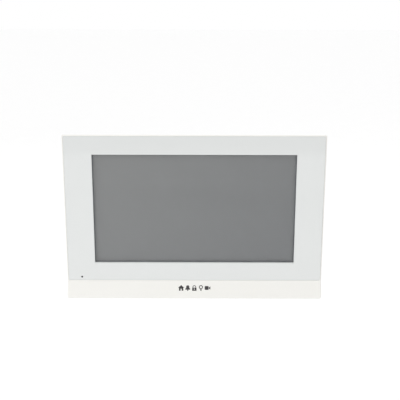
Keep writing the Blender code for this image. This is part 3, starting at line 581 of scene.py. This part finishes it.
def drawIn(piece, y, wall=0.0):
    # bring the vertices at depth y onto the tapered outline, or one wall inside it
    for side in (-1, 1):
        pick(piece, "VERT", lambda v: near(middle(v).y, y) and middle(v).x * side > 50)
        now = [abs(middle(v).x) for v in bmesh.from_edit_mesh(piece.data).verts if v.select]
        move(x=side * (case["halfWidth"] - taper(y) - wall - now[0]))
    pick(piece, "VERT", lambda v: near(middle(v).y, y) and middle(v).z > 50)
    now = [middle(v).z for v in bmesh.from_edit_mesh(piece.data).verts if v.select]
    move(z=case["top"] - taper(y) - wall - now[0])
    pick(piece, "VERT", lambda v: near(middle(v).y, y) and middle(v).z < case["chinTop"] - 1)
    now = [middle(v).z for v in bmesh.from_edit_mesh(piece.data).verts if v.select]
    move(z=underside(y) + wall - now[0])


def squareInside(piece, y, wall):
    # an inset wider than the outer rounding crosses over at the corners: each goes back to one point
    halfWidth = case["halfWidth"] - taper(y) - wall
    low, high = underside(y) + wall, case["top"] - taper(y) - wall
    for x in (-halfWidth, halfWidth):
        for z in (low, high):
            corner = Vector((x, y, z))
            pick(piece, "VERT", lambda v: (middle(v) - corner).length < wall * 0.75)
            bpy.ops.mesh.merge(type="CENTER")
            merged = [middle(v) for v in bmesh.from_edit_mesh(piece.data).verts if v.select]
            move(*(corner - merged[0]))
    pick(piece, "FACE", lambda f: near(middle(f).y, y) and all(
        abs(middle(v).x) < halfWidth + 0.05 and low - 0.05 < middle(v).z < high + 0.05 for v in f.verts))


housing = {
    "pocketRound": 0.88, "cornerRound": 1.5, "footRound": 1.1, "edgeRound": 0.8, "rimWidth": 0.92,
    "groove": 0.08, "glassBottom": -52.0, "ledge": (-20.4, -18.6), "opening": ((-83.6, 83.6), (-47.9, 55.4)),
    "flexNotch": ((19.0, 41.0), (54.0, 58.6)), "micPort": 1.6,
    "coverPosts": [(-90.0, 50.0), (90.0, 50.0), (-78.0, -51.0), (78.0, -51.0)],
    "chassisPosts": [(-88.0, 34.0), (88.0, 34.0), (-88.0, -24.0), (88.0, -24.0)],
    "coverPost": (3.6, 1.6), "chassisPost": (3.0, 1.5), "chassisSeat": -16.1,     # radius, and its bore's
    "chinDeep": 3.2, "chinSlant": (3.0, 1.2),
}


def makeFrontHousing():
    low, high = limits("front_housing")
    front, split = case["front"], high.y
    piece = addBlock("frontHousing", (low.x, high.x), (front, split), (low.z, high.z))
    cutAcross(piece, "y", case["taperStart"])
    cutAcross(piece, "z", case["chinTop"])
    drawIn(piece, split)
    drawIn(piece, case["taperStart"])
    pick(piece, "VERT", lambda v: near(middle(v).y, front) and near(middle(v).z, low.z))
    move(y=case["footY"] - front, z=case["footZ"] - low.z)

    # lower corners, the foot of the chin, then every outer edge but the split line
    pick(piece, "EDGE", lambda e: heading(e).y > 0.8 and abs(middle(e).x) > 90 and middle(e).z < -58)
    roundOff(housing["cornerRound"], 5)
    pick(piece, "EDGE", lambda e: middle(e).z < -60 and middle(e).y < -28 and heading(e).x > 0.9)
    roundOff(housing["footRound"], 4)
    pick(piece, "EDGE", lambda e: e.calc_face_angle(0) > math.radians(50) and middle(e).y < split - 0.1)
    roundOff(housing["edgeRound"], 4, clamp=False)

    # the pocket for the glass, its bottom edge raised to leave an even groove
    pick(piece, "FACE", lambda f: f.normal.y < -0.999 and near(middle(f).y, front))
    bpy.ops.mesh.inset(thickness=(housing["rimWidth"] - housing["edgeRound"]) * mm, depth=0)
    pick(piece, "VERT", lambda v: near(middle(v).y, front) and 0.03 < middle(v).z - case["chinTop"] < 1)
    move(z=housing["glassBottom"] - housing["groove"] - (case["chinTop"] + housing["rimWidth"]
                                                        - housing["edgeRound"]))
    pick(piece, "FACE", lambda f: f.normal.y < -0.999 and near(middle(f).y, front) and f.calc_area() > 0.01)
    extrude(y=housing["ledge"][0] - front)
    pick(piece, "EDGE", lambda e: heading(e).y > 0.99 and near(abs(middle(e).x), case["halfWidth"]
                                                               - housing["rimWidth"], 0.05))
    roundOff(housing["pocketRound"], 5, clamp=False)

    # the inside, parallel to the tapered walls, and forward into the chin
    ledgeBack = housing["ledge"][1]
    pick(piece, "FACE", lambda f: f.normal.y > 0.999 and near(middle(f).y, split))
    bpy.ops.mesh.inset(thickness=case["wall"] * mm, depth=0)
    squareInside(piece, split, case["wall"])
    extrude(y=ledgeBack - split)
    drawIn(piece, ledgeBack, case["wall"])
    pick(piece, "FACE", lambda f: near(middle(f).y, ledgeBack) and f.normal.y > 0.999)
    shelf = case["chinTop"] - case["wall"]
    bpy.ops.mesh.bisect(plane_co=(0, 0, shelf * mm), plane_no=(0, 0, 1))
    pick(piece, "FACE", lambda f: near(middle(f).y, ledgeBack) and f.normal.y > 0.999 and middle(f).z < shelf)
    extrude(y=-housing["chinDeep"])
    pick(piece, "VERT", lambda v: near(middle(v).y, ledgeBack - housing["chinDeep"])
         and middle(v).z < shelf - 1)
    move(y=-housing["chinSlant"][0], z=-housing["chinSlant"][1])
    onlySelect(piece)

    # posts for the screws, joined on, then everything that is bored through
    posts, bores = [], []
    for place in housing["coverPosts"]:
        radius, bore = housing["coverPost"]
        posts.append(addRod("post", place, radius, (ledgeBack - 1.0, split - 0.8)))
        bores.append(addRod("bore", place, bore, (ledgeBack + 0.4, split + 1.0), 20))
    for place in housing["chassisPosts"]:
        radius, bore = housing["chassisPost"]
        posts.append(addRod("post", place, radius, (ledgeBack - 1.0, housing["chassisSeat"])))
        bores.append(addRod("bore", place, bore, (ledgeBack - 1.0, split), 20))
    combine(piece, joinAll(posts, "posts"), "UNION")
    through = (housing["ledge"][0] - 1.0, ledgeBack + 1.0)
    bores.append(addBlock("opening", housing["opening"][0], through, housing["opening"][1]))
    bores.append(addRod("micPort", places["microphone"], housing["micPort"], through, 24))
    combine(piece, joinAll(bores, "bores"))
    combine(piece, addBlock("notch", housing["flexNotch"][0], through, housing["flexNotch"][1]))
    finishPiece(piece, "monitor", "white_abs", ["front_housing"])


places = {name: centreOf(name) for name in ("microphone", "speaker_cone", "reset_button", "terminal_plug",
                                            "rj45_jack")}
makeFrontHousing()
print("stage: front housing")

glass = {"cornerRound": 0.8, "edgeRound": 0.15, "micHole": 0.75, "window": ((-77.9, 77.9), (-37.3, 49.8))}


def makeCoverGlass():
    low, high = limits("cover_glass")
    piece = addBlock("coverGlass", (low.x, high.x), (low.y, high.y), (low.z, high.z))
    pick(piece, "EDGE", lambda e: heading(e).y > 0.9)
    roundOff(glass["cornerRound"], 6)
    pick(piece, "EDGE", lambda e: e.calc_face_angle(0) > math.radians(60))
    roundOff(glass["edgeRound"], 2)
    onlySelect(piece)
    (left, right), (bottom, top) = glass["window"]
    cutAcross(piece, "x", left, right)
    cutAcross(piece, "z", bottom, top)
    combine(piece, addRod("micHole", places["microphone"], glass["micHole"], (low.y - 1, high.y + 1), 32))

    def choose(face, at):
        if math.dist((at.x, at.z), places["microphone"]) < glass["micHole"] + 0.05:
            return 3
        if abs(face.normal.y) < 0.9:
            return 2
        return 1 if left < at.x < right and bottom < at.z < top else 0

    dress(piece, ("white_glass", "clearGlass", "glassEdge", "black_rubber"), choose)
    finishPiece(piece, "monitor", None, ["cover_glass"])


makeCoverGlass()
print("stage: cover glass")

display = {"active": ((-77.1, 77.1), (-36.7, 49.2)), "ledgeHeight": 3.6, "ledgeStep": 0.55, "filmEdge": 1.1,
           "filmStep": 0.12}


def makeDisplay():
    # two sheets of glass: the rear one reaches further down, the polariser stands proud
    low, high = limits("lcd_panel")
    piece = addBlock("displayPanel", (low.x, high.x), (low.y, high.y), (low.z, high.z))
    (left, right), (bottom, top) = display["active"]
    cutAcross(piece, "z", low.z + display["ledgeHeight"])
    pick(piece, "FACE", lambda f: f.normal.y < -0.9 and middle(f).z < low.z + display["ledgeHeight"])
    extrude(y=display["ledgeStep"])
    pick(piece, "FACE", lambda f: f.normal.y < -0.9 and f.calc_area() > 0.005)
    bpy.ops.mesh.inset(thickness=display["filmEdge"] * mm, depth=0)
    extrude(y=-display["filmStep"])
    cutAcross(piece, "x", left, right)
    cutAcross(piece, "z", bottom, top)
    onlySelect(piece)
    dress(piece, ("screen_grey", "matrix"), lambda face, at: 0 if (
        left < at.x < right and bottom < at.z < top and face.normal.y < -0.9) else 1)
    finishPiece(piece, "monitor", None, ["lcd_panel"])


makeDisplay()
print("stage: display")

cover = {
    "backRound": 2.0, "cornerRound": 0.8, "slotRound": 0.25, "bay": ((-34.0, 34.0), (-36.0, -8.0)),
    "bayFloor": (-14.6, -13.4), "bayWall": 1.2, "post": 4.4, "well": 3.1, "screwWay": 1.8,
    "speakerScrew": 14.85, "speakerPost": 2.4, "speakerPilot": 1.3, "hookWidth": 11.0,
    "hookSlot": (-7.6, 0.3), "resetHole": 2.4,
    "hooks": [(-46.0, 24.0), (46.0, 24.0), (-24.0, -44.0), (24.0, -44.0)],
    "vents": {"x": (66.0, 84.0), "z": 6.0, "step": 5.0, "rows": 6, "tall": 2.2},
    "soundSlots": {"within": 14.5, "step": 4.2, "tall": 2.0},
    "panelCuts": {"x": (-52.5, -34.6, 34.6, 52.5), "z": (-36.6, -7.4, 3.2, 33.8)},
}


def makeRearCover():
    low, high = limits("rear_cover")
    split, back = case["split"] + case["gap"], case["back"]
    piece = addBlock("rearCover", (low.x, high.x), (split, back), (low.z, high.z))
    drawIn(piece, split)
    drawIn(piece, back)
    pick(piece, "EDGE", lambda e: heading(e).y > 0.8)
    roundOff(cover["cornerRound"], 4)
    pick(piece, "EDGE", lambda e: near(middle(e).y, back) and e.calc_face_angle(0) > math.radians(40))
    roundOff(cover["backRound"] * 0.75, 5)
    pick(piece, "FACE", lambda f: f.normal.y < -0.999)
    bpy.ops.mesh.inset(thickness=case["wall"] * mm, depth=0)
    squareInside(piece, split, case["wall"])
    extrude(y=case["backEdge"] - split)
    # the back wall in panels, so that no face carries more than a few openings
    for axis, cuts in cover["panelCuts"].items():
        cutAcross(piece, axis, *cuts)
    onlySelect(piece)

    (bayLeft, bayRight), (bayLow, bayHigh) = cover["bay"]
    floorFront, floorBack = cover["bayFloor"]
    wall = cover["bayWall"]
    speaker = places["speaker_cone"]
    offset = cover["speakerScrew"]
    speakerScrews = [(speaker[0] - offset, speaker[1] + offset), (speaker[0] + offset, speaker[1] - offset)]
    solids = [addBlock("bay", (bayLeft - wall, bayRight + wall), (floorFront, back - 1.0),
                       (bayLow - wall, bayHigh + wall))]
    solids += [addRod("post", place, cover["post"], (split - 0.6, back - 1.0))
               for place in housing["coverPosts"]]
    solids += [addRod("post", place, cover["speakerPost"], (-4.4, back - 1.0)) for place in speakerScrews]
    combine(piece, joinAll(solids, "solids"), "UNION")

    # everything that opens through the back; the vent cutter is modelled once and copied
    tools = [addBlock("bayHollow", (bayLeft, bayRight), (floorBack, 1.0), (bayLow, bayHigh))]
    through = (-5.0, 1.0)
    tools += [addRod("well", place, cover["well"], (-4.6, 1.0)) for place in housing["coverPosts"]]
    tools += [addRod("pilot", place, cover["speakerPilot"], (-8.0, -2.4), 20) for place in speakerScrews]
    tools.append(addRod("resetHole", places["reset_button"], cover["resetHole"], through))
    half = cover["hookWidth"] / 2
    hookLow, hookHigh = cover["hookSlot"]
    for x, z in cover["hooks"]:
        tools.append(addSlot("hookSlot", span(x, half), through, (z + hookLow, z + hookHigh), 1.0))
    vents = cover["vents"]
    first = addSlot("vent", vents["x"], through, span(vents["z"], vents["tall"] / 2), 1.05)
    for row in range(vents["rows"]):
        for shift in (0.0, -vents["x"][0] - vents["x"][1]):
            tools.append(copyOf(first, "vent", x=shift, z=row * vents["step"]))
    discard(first)
    slots = cover["soundSlots"]
    for row in range(-3, 4):
        z = speaker[1] + row * slots["step"]
        reach = math.sqrt(slots["within"] ** 2 - (row * slots["step"]) ** 2)
        tools.append(addSlot("soundSlot", span(speaker[0], reach), through, span(z, slots["tall"] / 2), 0.95))
    combine(piece, joinAll(tools, "tools"))

    ways = [addRod("way", place, cover["screwWay"], (-12.0, -4.0), 20) for place in housing["coverPosts"]]
    jackLow, jackHigh = limits("rj45_jack")
    plugLow, plugHigh = limits("terminal_plug")
    notchZ = (bayHigh - 0.5, bayHigh + wall + 0.5)
    notchBack = case["backEdge"] - 0.06
    ways.append(addBlock("jackNotch", (jackLow.x - 0.3, jackHigh.x + 0.3), (floorFront - 1, notchBack),
                         notchZ))
    ways.append(addBlock("plugNotch", (plugLow.x - 0.6, plugHigh.x + 0.6), (-12.4, notchBack), notchZ))
    combine(piece, joinAll(ways, "ways"))
    pick(piece, "EDGE", lambda e: near(middle(e).y, back, 0.01) and e.calc_face_angle(0) > math.radians(70))
    roundOff(cover["slotRound"], 2)
    finishPiece(piece, "monitor", "white_abs", ["rear_cover"])


makeRearCover()
print("stage: rear cover")

bracket = {
    "thick": 1.2, "cornerRound": 5.0, "windowX": (-36.0, 36.0), "windowZ": (7.0, 37.0),
    "windowRound": 3.0, "slot": (4.0, 2.3),
    "boxSlots": [(-30.0, 0.0), (30.0, 0.0), (0.0, 41.75), (0.0, -41.75)],
    "cornerHoles": (50.0, 44.0), "holeRadius": 2.5, "hookWidth": 10.0, "hookRise": 4.5, "edgeRound": 0.18,
    "hookReach": -5.0, "bend": 0.5,
}


def makeBracket():
    low, high = limits("wall_bracket")
    thick = bracket["thick"]
    piece = addBlock("wallBracket", (low.x, high.x), (-thick, 0.0), (low.z, high.z))
    pick(piece, "EDGE", lambda e: heading(e).y > 0.9)
    roundOff(bracket["cornerRound"], 10)
    onlySelect(piece)
    through = (-thick - 1.0, 1.0)
    tools = []
    for side in (-1, 1):
        z = sorted(side * v for v in bracket["windowZ"])
        tools.append(addSlot("window", bracket["windowX"], through, z, bracket["windowRound"]))
        for end in (-1, 1):
            x, up = bracket["cornerHoles"]
            tools.append(addRod("hole", (side * x, end * up), bracket["holeRadius"], through))
    halfX, halfZ = bracket["slot"]
    for x, z in bracket["boxSlots"]:
        tools.append(addSlot("boxSlot", span(x, halfX), through, span(z, halfZ), halfZ * 0.97))
    half = bracket["hookWidth"] / 2 + 0.4
    for x, z in cover["hooks"]:
        tools.append(addSlot("relief", span(x, half), through, (z - 0.4, z + bracket["hookRise"] + 1.4), 0.6))
    combine(piece, joinAll(tools, "tools"))
    pick(piece, "EDGE", lambda e: e.calc_face_angle(0) > math.radians(60) and heading(e).y < 0.5)
    roundOff(bracket["edgeRound"], 2)

    # one hook, bent out of the plate and up, then copied to its four places
    x, z = cover["hooks"][0]
    reach, width = bracket["hookReach"], bracket["hookWidth"]
    hook = addBlock("hook", span(x, width / 2), (reach, reach + thick), (z - thick, z + bracket["hookRise"]))
    cutAcross(hook, "z", z)
    pick(hook, "FACE", lambda f: f.normal.y > 0.9 and middle(f).z < z)
    extrude(y=-thick / 2 - reach - thick)
    bend = bracket["bend"]
    for y, up, radius, steps in ((reach, z - thick, bend + thick * 0.9, 6), (reach + thick, z, bend, 4)):
        pick(hook, "EDGE", lambda e: heading(e).x > 0.9 and near(middle(e).y, y) and near(middle(e).z, up))
        roundOff(radius, steps)
    pick(hook, "EDGE", lambda e: heading(e).y > 0.9 and middle(e).z > z + 4)
    roundOff(1.2, 4)
    onlySelect(hook)
    combine(piece, repeatOf(hook, "hooks", [(to[0] - x, to[1] - z) for to in cover["hooks"]]), "UNION")
    finishPiece(piece, "wall_bracket", "zinc_steel", ["wall_bracket"])


makeBracket()
print("stage: wall bracket")


# a row of plain pictograms printed across the middle of the chin
pictograms = {"middleZ": -57.7, "pitch": 5.2, "thick": 0.06}


def flatRing(name, at, outer, inner, sides=40):
    # a flat washer facing -Y
    piece = addRod(name, at, outer, (-pictograms["thick"], 0.0), sides)
    pick(piece, "FACE", lambda f: abs(f.normal.y) > 0.9)
    bpy.ops.mesh.inset(thickness=(outer - inner) * mm, depth=0)
    bpy.ops.mesh.bridge_edge_loops()
    onlySelect(piece)
    return piece


def flatBar(name, x, z):
    return addBlock(name, x, (-pictograms["thick"], 0.0), z)


def flare(bar, test, x, narrow):
    # draw the chosen corners of a bar in towards a line, across x or up and down
    pick(bar, "VERT", test)
    stretch(about=(x, 0, 0), **narrow)
    onlySelect(bar)


def makePictograms():
    parts = []
    pitch = pictograms["pitch"]

    # house: a body with a door, and a roof drawn to its ridge
    x = -2 * pitch
    roof = flatBar("roof", span(x, 2.4), (0.1, 2.2))
    flare(roof, lambda v: middle(v).z > 1, x, {"x": 0.02})
    body = flatBar("body", span(x, 1.7), (-2.2, 0.3))
    combine(body, addBlock("door", span(x, 0.45), (-1.0, 1.0), (-3.0, -0.6)))
    parts += [roof, body]

    # bell: a dome flared at its foot, and the clapper under it
    x = -pitch
    bell = flatBar("bell", span(x, 1.9), (-1.3, -0.8))
    pick(bell, "FACE", lambda f: f.normal.z > 0.9)
    for rise, narrow in ((0.9, 0.66), (1.1, 0.95), (0.8, 0.6)):
        extrude(z=rise)
        stretch(x=narrow, about=(x, 0, 0))
    onlySelect(bell)
    parts += [bell, addRod("clapper", (x, -1.75), 0.5, (-pictograms["thick"], 0.0), 20)]

    # padlock: a body, and a shackle cut from a ring
    lockBody = flatBar("lockBody", (-1.7, 1.7), (-2.2, 0.2))
    combine(lockBody, addRod("keyHole", (0.0, -0.9), 0.45, (-1.0, 1.0), 20))
    shackle = flatRing("shackle", (0.0, 0.75), 1.35, 0.85)
    combine(shackle, addBlock("under", (-2.0, 2.0), (-1.0, 1.0), (-2.0, 0.1)))
    parts += [lockBody, shackle]

    # lamp: a round bulb on a stem of two bars
    x = pitch
    parts += [flatRing("bulb", (x, 0.65), 1.55, 0.95), flatBar("neck", span(x, 0.7), (-1.45, -1.0)),
              flatBar("cap", span(x, 0.5), (-2.2, -1.75))]

    # camera: a rounded body and a flared hood at its side
    x = 2 * pitch
    camBody = addSlot("camBody", (x - 2.2, x + 0.9), (-pictograms["thick"], 0.0), (-1.5, 1.5), 0.6)
    hood = flatBar("hood", (x + 1.2, x + 2.2), (-1.3, 1.3))
    flare(hood, lambda v: middle(v).x < x + 1.5, x, {"z": 0.4})
    parts += [camBody, hood]

    # laid on the sloping chin
    piece = joinAll(parts, "chinPictograms")
    chinSlope = (case["footY"] - case["front"]) / (case["footZ"] - case["chinTop"])
    pick(piece, "VERT", lambda v: True)
    bpy.ops.transform.rotate(value=math.atan(chinSlope), orient_axis="X", center_override=(0, 0, 0))
    move(y=case["front"] + chinSlope * (pictograms["middleZ"] - case["chinTop"]), z=pictograms["middleZ"])
    finishPiece(piece, "monitor", "print")


makePictograms()
print("stage: pictograms")

jack = {"contacts": 8, "contactPitch": 1.02, "contactWide": 0.42, "latchHalf": 2.1, "mouthHalf": 5.95,
        "edgeRound": 0.35}


def makeJack():
    low, high = limits("rj45_jack")
    middleX = (low.x + high.x) / 2
    keyY = high.y - 2.6
    mouthY = (low.y + 1.4, keyY)
    mouthTop = high.z - 3.5
    shell = addBlock("networkJackShield", (low.x, high.x), (low.y, high.y), (low.z, high.z))
    pick(shell, "EDGE", lambda e: True)
    roundOff(jack["edgeRound"], 3)
    onlySelect(shell)
    mouthZ = (low.z - 1, mouthTop)
    combine(shell, addBlock("mouth", span(middleX, jack["mouthHalf"]), mouthY, mouthZ))
    combine(shell, addBlock("latchWay", span(middleX, jack["latchHalf"]), (keyY - 0.5, high.y - 0.6), mouthZ))
    # sprung grounding tongues pressed out of both sides
    tongues = []
    for side in (-1, 1):
        edge = middleX + side * (high.x - low.x) / 2
        tongue = addBlock("tongue", (edge - side * 0.1, edge + side * 0.12), (low.y + 3.5, low.y + 6.5),
                          (-5.5, 1.0))
        pick(tongue, "EDGE", lambda e: abs(middle(e).x) > abs(edge) and e.calc_face_angle(0) > 1)
        roundOff(0.1, 2)
        tongues.append(tongue)
    shell = joinAll([shell] + tongues, "networkJackShield")
    finishPiece(shell, "monitor", "tin_steel", ["rj45_jack"])

    # black carrier deep in the mouth, with a comb for the contacts
    carrier = addBlock("networkJackCarrier", span(middleX, 5.9), (mouthY[0] + 0.05, keyY - 0.05),
                       (mouthTop - 2.2, mouthTop - 0.05))
    count = jack["contacts"]
    contactX = [middleX + (number - (count - 1) / 2) * jack["contactPitch"] for number in range(count)]
    slots = [addBlock("slot", span(x, 0.3), (mouthY[0] + 0.6, keyY - 0.8), (mouthTop - 3.0, mouthTop - 1.0))
             for x in contactX]
    combine(carrier, joinAll(slots, "slots"))
    finishPiece(carrier, "monitor", "black_plastic")

    # one contact: a strip that runs up the front wall and springs back into the mouth
    contact = addBlock("contact", span(0, jack["contactWide"] / 2), (mouthY[0] + 0.15, mouthY[0] + 0.4),
                       (low.z + 1.2, low.z + 2.0))
    pick(contact, "FACE", lambda f: f.normal.z > 0.9)
    extrude(z=6.0, y=2.6)
    extrude(z=2.4, y=0.4)
    onlySelect(contact)
    finishPiece(repeatOf(contact, "networkJackContacts", [(x, 0) for x in contactX]), "monitor", "gold")


makeJack()
print("stage: network jack")

terminals = {"poles": 6, "pitch": 5.08, "grooveWide": 0.5, "grooveDeep": 0.45, "wellRadius": 1.9,
             "wellDeep": 4.6, "wireHalf": 1.5, "wireDeep": 9.0, "pinHalf": 0.5, "edgeRound": 0.3,
             "headerWall": 1.0, "bodyTop": -6.6}


def poleX(number):
    # where a pole stands, counted from 0; a half is midway between two
    return places["terminal_plug"][0] + (number - (terminals["poles"] - 1) / 2) * terminals["pitch"]


def makeTerminals():
    low, high = limits("terminal_header")
    wall = terminals["headerWall"]
    header = addBlock("terminalHeader", (low.x, high.x), (low.y, high.y), (low.z, high.z))
    pick(header, "EDGE", lambda e: True)
    roundOff(terminals["edgeRound"], 2)
    onlySelect(header)
    combine(header, addBlock("inside", (low.x + wall, high.x - wall), (low.y + wall, high.y - wall),
                             (low.z - 1, high.z - 3.0)))
    halfGroove, deep = terminals["grooveWide"] / 2, terminals["grooveDeep"]
    grooves = [addBlock("groove", span(poleX(number + 0.5), halfGroove), (high.y - deep, high.y + 1),
                        (low.z - 1, high.z + 1)) for number in range(terminals["poles"] - 1)]
    combine(header, joinAll(grooves, "grooves"))
    finishPiece(header, "monitor", "green_plastic", ["terminal_header"])

    # six square pins, tapered at the tip
    half = terminals["pinHalf"]
    pinY = (low.y + high.y) / 2
    pin = addBlock("pin", span(0, half), span(pinY, half), (low.z + 1.6, high.z - 2.5))
    pick(pin, "FACE", lambda f: f.normal.z < -0.9)
    extrude(z=-0.9)
    stretch(x=0.5, y=0.5, about=(0, pinY, 0))
    onlySelect(pin)
    everyPole = [(poleX(number), 0) for number in range(terminals["poles"])]
    finishPiece(repeatOf(pin, "terminalPins", everyPole), "monitor", "tin_steel")

    # the plug: body, nose, screw wells, wire ways and a groove between each pair of poles
    plugLow, plugHigh = limits("terminal_plug")
    bodyTop = terminals["bodyTop"]
    noseY = (low.y + wall + 0.4, high.y - wall - 0.4)
    plug = addBlock("terminalPlug", (plugLow.x, plugHigh.x), (plugLow.y, plugHigh.y), (plugLow.z, bodyTop))
    pick(plug, "EDGE", lambda e: near(middle(e).z, plugLow.z) or near(middle(e).y, plugHigh.y))
    roundOff(terminals["edgeRound"] * 1.6, 3)
    onlySelect(plug)
    nose = addBlock("nose", (plugLow.x + 0.02, plugHigh.x - 0.02), noseY, (bodyTop - 2.0, plugHigh.z))
    combine(plug, nose, "UNION")
    screwZ = (plugLow.z + bodyTop) / 2 - 1.0
    tools, sockets = [], []
    for number in range(terminals["poles"]):
        x = poleX(number)
        tools.append(addRod("well", (x, screwZ), terminals["wellRadius"],
                            (plugHigh.y - terminals["wellDeep"], plugHigh.y + 1), 24))
        tools.append(addBlock("wire", span(x, terminals["wireHalf"]), (plugLow.y + 0.9, plugLow.y + 3.1),
                              (plugLow.z - 1, plugLow.z + terminals["wireDeep"])))
        sockets.append(addBlock("socket", span(x, 0.75), span(pinY, 0.75), (bodyTop - 1.0, plugHigh.z + 1)))
        if number:
            tools.append(addBlock("groove", span(poleX(number - 0.5), halfGroove),
                                  (plugHigh.y - deep, plugHigh.y + 1), (plugLow.z - 1, bodyTop + 1)))
    combine(plug, joinAll(tools, "tools"))
    combine(plug, joinAll(sockets, "sockets"))
    pick(plug, "EDGE", lambda e: near(middle(e).z, plugLow.z, 0.01)
         and e.calc_face_angle(0) > math.radians(80))
    roundOff(0.25, 1)
    finishPiece(plug, "terminal_plug", "green_plastic", ["terminal_plug"])

    # a plated cage in each wire way
    cage = addBlock("cage", span(0, 1.42), (plugLow.y + 0.95, plugLow.y + 3.05),
                    (plugLow.z + 1.2, plugLow.z + 8.5))
    pick(cage, "FACE", lambda f: f.normal.z < -0.9)
    bpy.ops.mesh.inset(thickness=0.3 * mm, depth=0)
    extrude(z=6.0)
    onlySelect(cage)
    finishPiece(repeatOf(cage, "wireCages", everyPole), "terminal_plug", "zinc_steel")


makeTerminals()
print("stage: terminals")

screws = {
    # head radius, head height and shank radius of each kind; the recess is a cross or a slot
    "cover_screw": {"count": 4, "head": 2.7, "tall": 2.0, "shank": 1.3, "recess": "cross"},
    "chassis_screw": {"count": 4, "head": 2.4, "tall": 1.3, "shank": 1.2, "recess": "cross"},
    "board_screw": {"count": 4, "head": 2.4, "tall": 1.3, "shank": 1.2, "recess": "cross"},
    "clamp_screw": {"count": 6, "head": 1.55, "tall": 1.3, "shank": 1.0, "recess": "slot"},
}
threadPitch = 0.8


def makeScrews():
    # one screw of each kind is turned, threaded and recessed, then copied with a turn of its own
    for kind, screw in screws.items():
        low, high = limits(kind + "_1")
        head, seat, shank = screw["head"], high.y - screw["tall"], screw["shank"]
        profile = [(0.0, low.y), (shank * 0.5, low.y)]
        y = low.y + threadPitch / 2
        while y < seat - threadPitch:
            profile += [(shank * 0.82, y), (shank, y + threadPitch / 4), (shank * 0.82, y + threadPitch / 2)]
            y += threadPitch
        profile += [(shank * 0.82, seat), (head, seat), (head, high.y - screw["tall"] * 0.45)]
        for step in range(1, 6):
            angle = step / 5 * math.pi / 2
            profile.append((head * (0.55 + 0.45 * math.cos(angle)),
                            high.y - screw["tall"] * 0.45 * (1 - math.sin(angle))))
        profile.append((0.0, high.y))
        at = centreOf(kind + "_1")
        model = turnProfile("screwModel", at, profile, 32)
        cuts = [(head * 1.2, 0.32)]
        if screw["recess"] == "cross":
            cuts = [(head * 0.62, 0.32), (0.32, head * 0.62)]
        for halfX, halfZ in cuts:
            combine(model, addBlock("recess", span(at[0], halfX), (high.y - screw["tall"] * 0.6, high.y + 1),
                                    span(at[1], halfZ)))
        for number in range(1, screw["count"] + 1):
            node = f"{kind}_{number}"
            x, z = centreOf(node)
            made = copyOf(model, kind.split("_")[0] + f"Screw{number}", x=x - at[0], z=z - at[1],
                          turn=0.6 * number, about=(at[0], 0, at[1]))
            body = "terminal_plug" if kind == "clamp_screw" else "monitor"
            finishPiece(made, body, "zinc_steel", [node], angle=40)
        discard(model)


makeScrews()
print("stage: screws")

button = {"stem": 1.7, "foot": 2.1, "dome": 0.35, "dish": 0.15}


def makeResetButton():
    low, high = limits("reset_button")
    foot, stem, dome = button["foot"], button["stem"], button["dome"]
    profile = [(0.0, low.y), (foot - 0.2, low.y), (foot, low.y + 0.2), (foot, low.y + 1.0),
               (stem, low.y + 1.2), (stem, high.y - dome)]
    profile += arc((stem - dome, high.y - dome), (dome, dome), 4, 22.5)
    profile += [(0.9, high.y - button["dish"] * 0.6), (0.0, high.y - button["dish"])]
    piece = turnProfile("resetButton", places["reset_button"], profile, 32)
    finishPiece(piece, "reset_button", "blue_button", ["reset_button"])


makeResetButton()

speaker = {"rollOuter": 14.2, "rollInner": 11.8, "capRadius": 5.6, "paper": 0.4}


def makeSpeakerCone():
    # a rolled surround, a cone and a domed dust cap in one pressing
    low, high = limits("speaker_cone")
    outer, inner, cap = speaker["rollOuter"], speaker["rollInner"], speaker["capRadius"]
    coneY = low.y + speaker["paper"] + 0.2
    face = [(outer, high.y - 0.5)]
    face += arc(((outer + inner) / 2, high.y - 0.5), ((outer - inner) / 2, 0.5), 7, 22.5)
    face.append((inner, high.y - 0.6))
    for step in range(1, 5):
        share = step / 4
        face.append((inner + (cap - inner) * share, high.y - 0.6 + (coneY - high.y + 0.6) * share ** 0.85))
    face += arc((0.0, coneY), (cap * 0.97, 1.5), 5, 18)
    back = [(radius, y - speaker["paper"]) for radius, y in reversed(face)]
    piece = turnProfile("speakerCone", places["speaker_cone"], face + back + face[:1], 48)
    finishPiece(piece, "monitor", "paper_cone", ["speaker_cone"])


makeSpeakerCone()
print("stage: button and speaker")
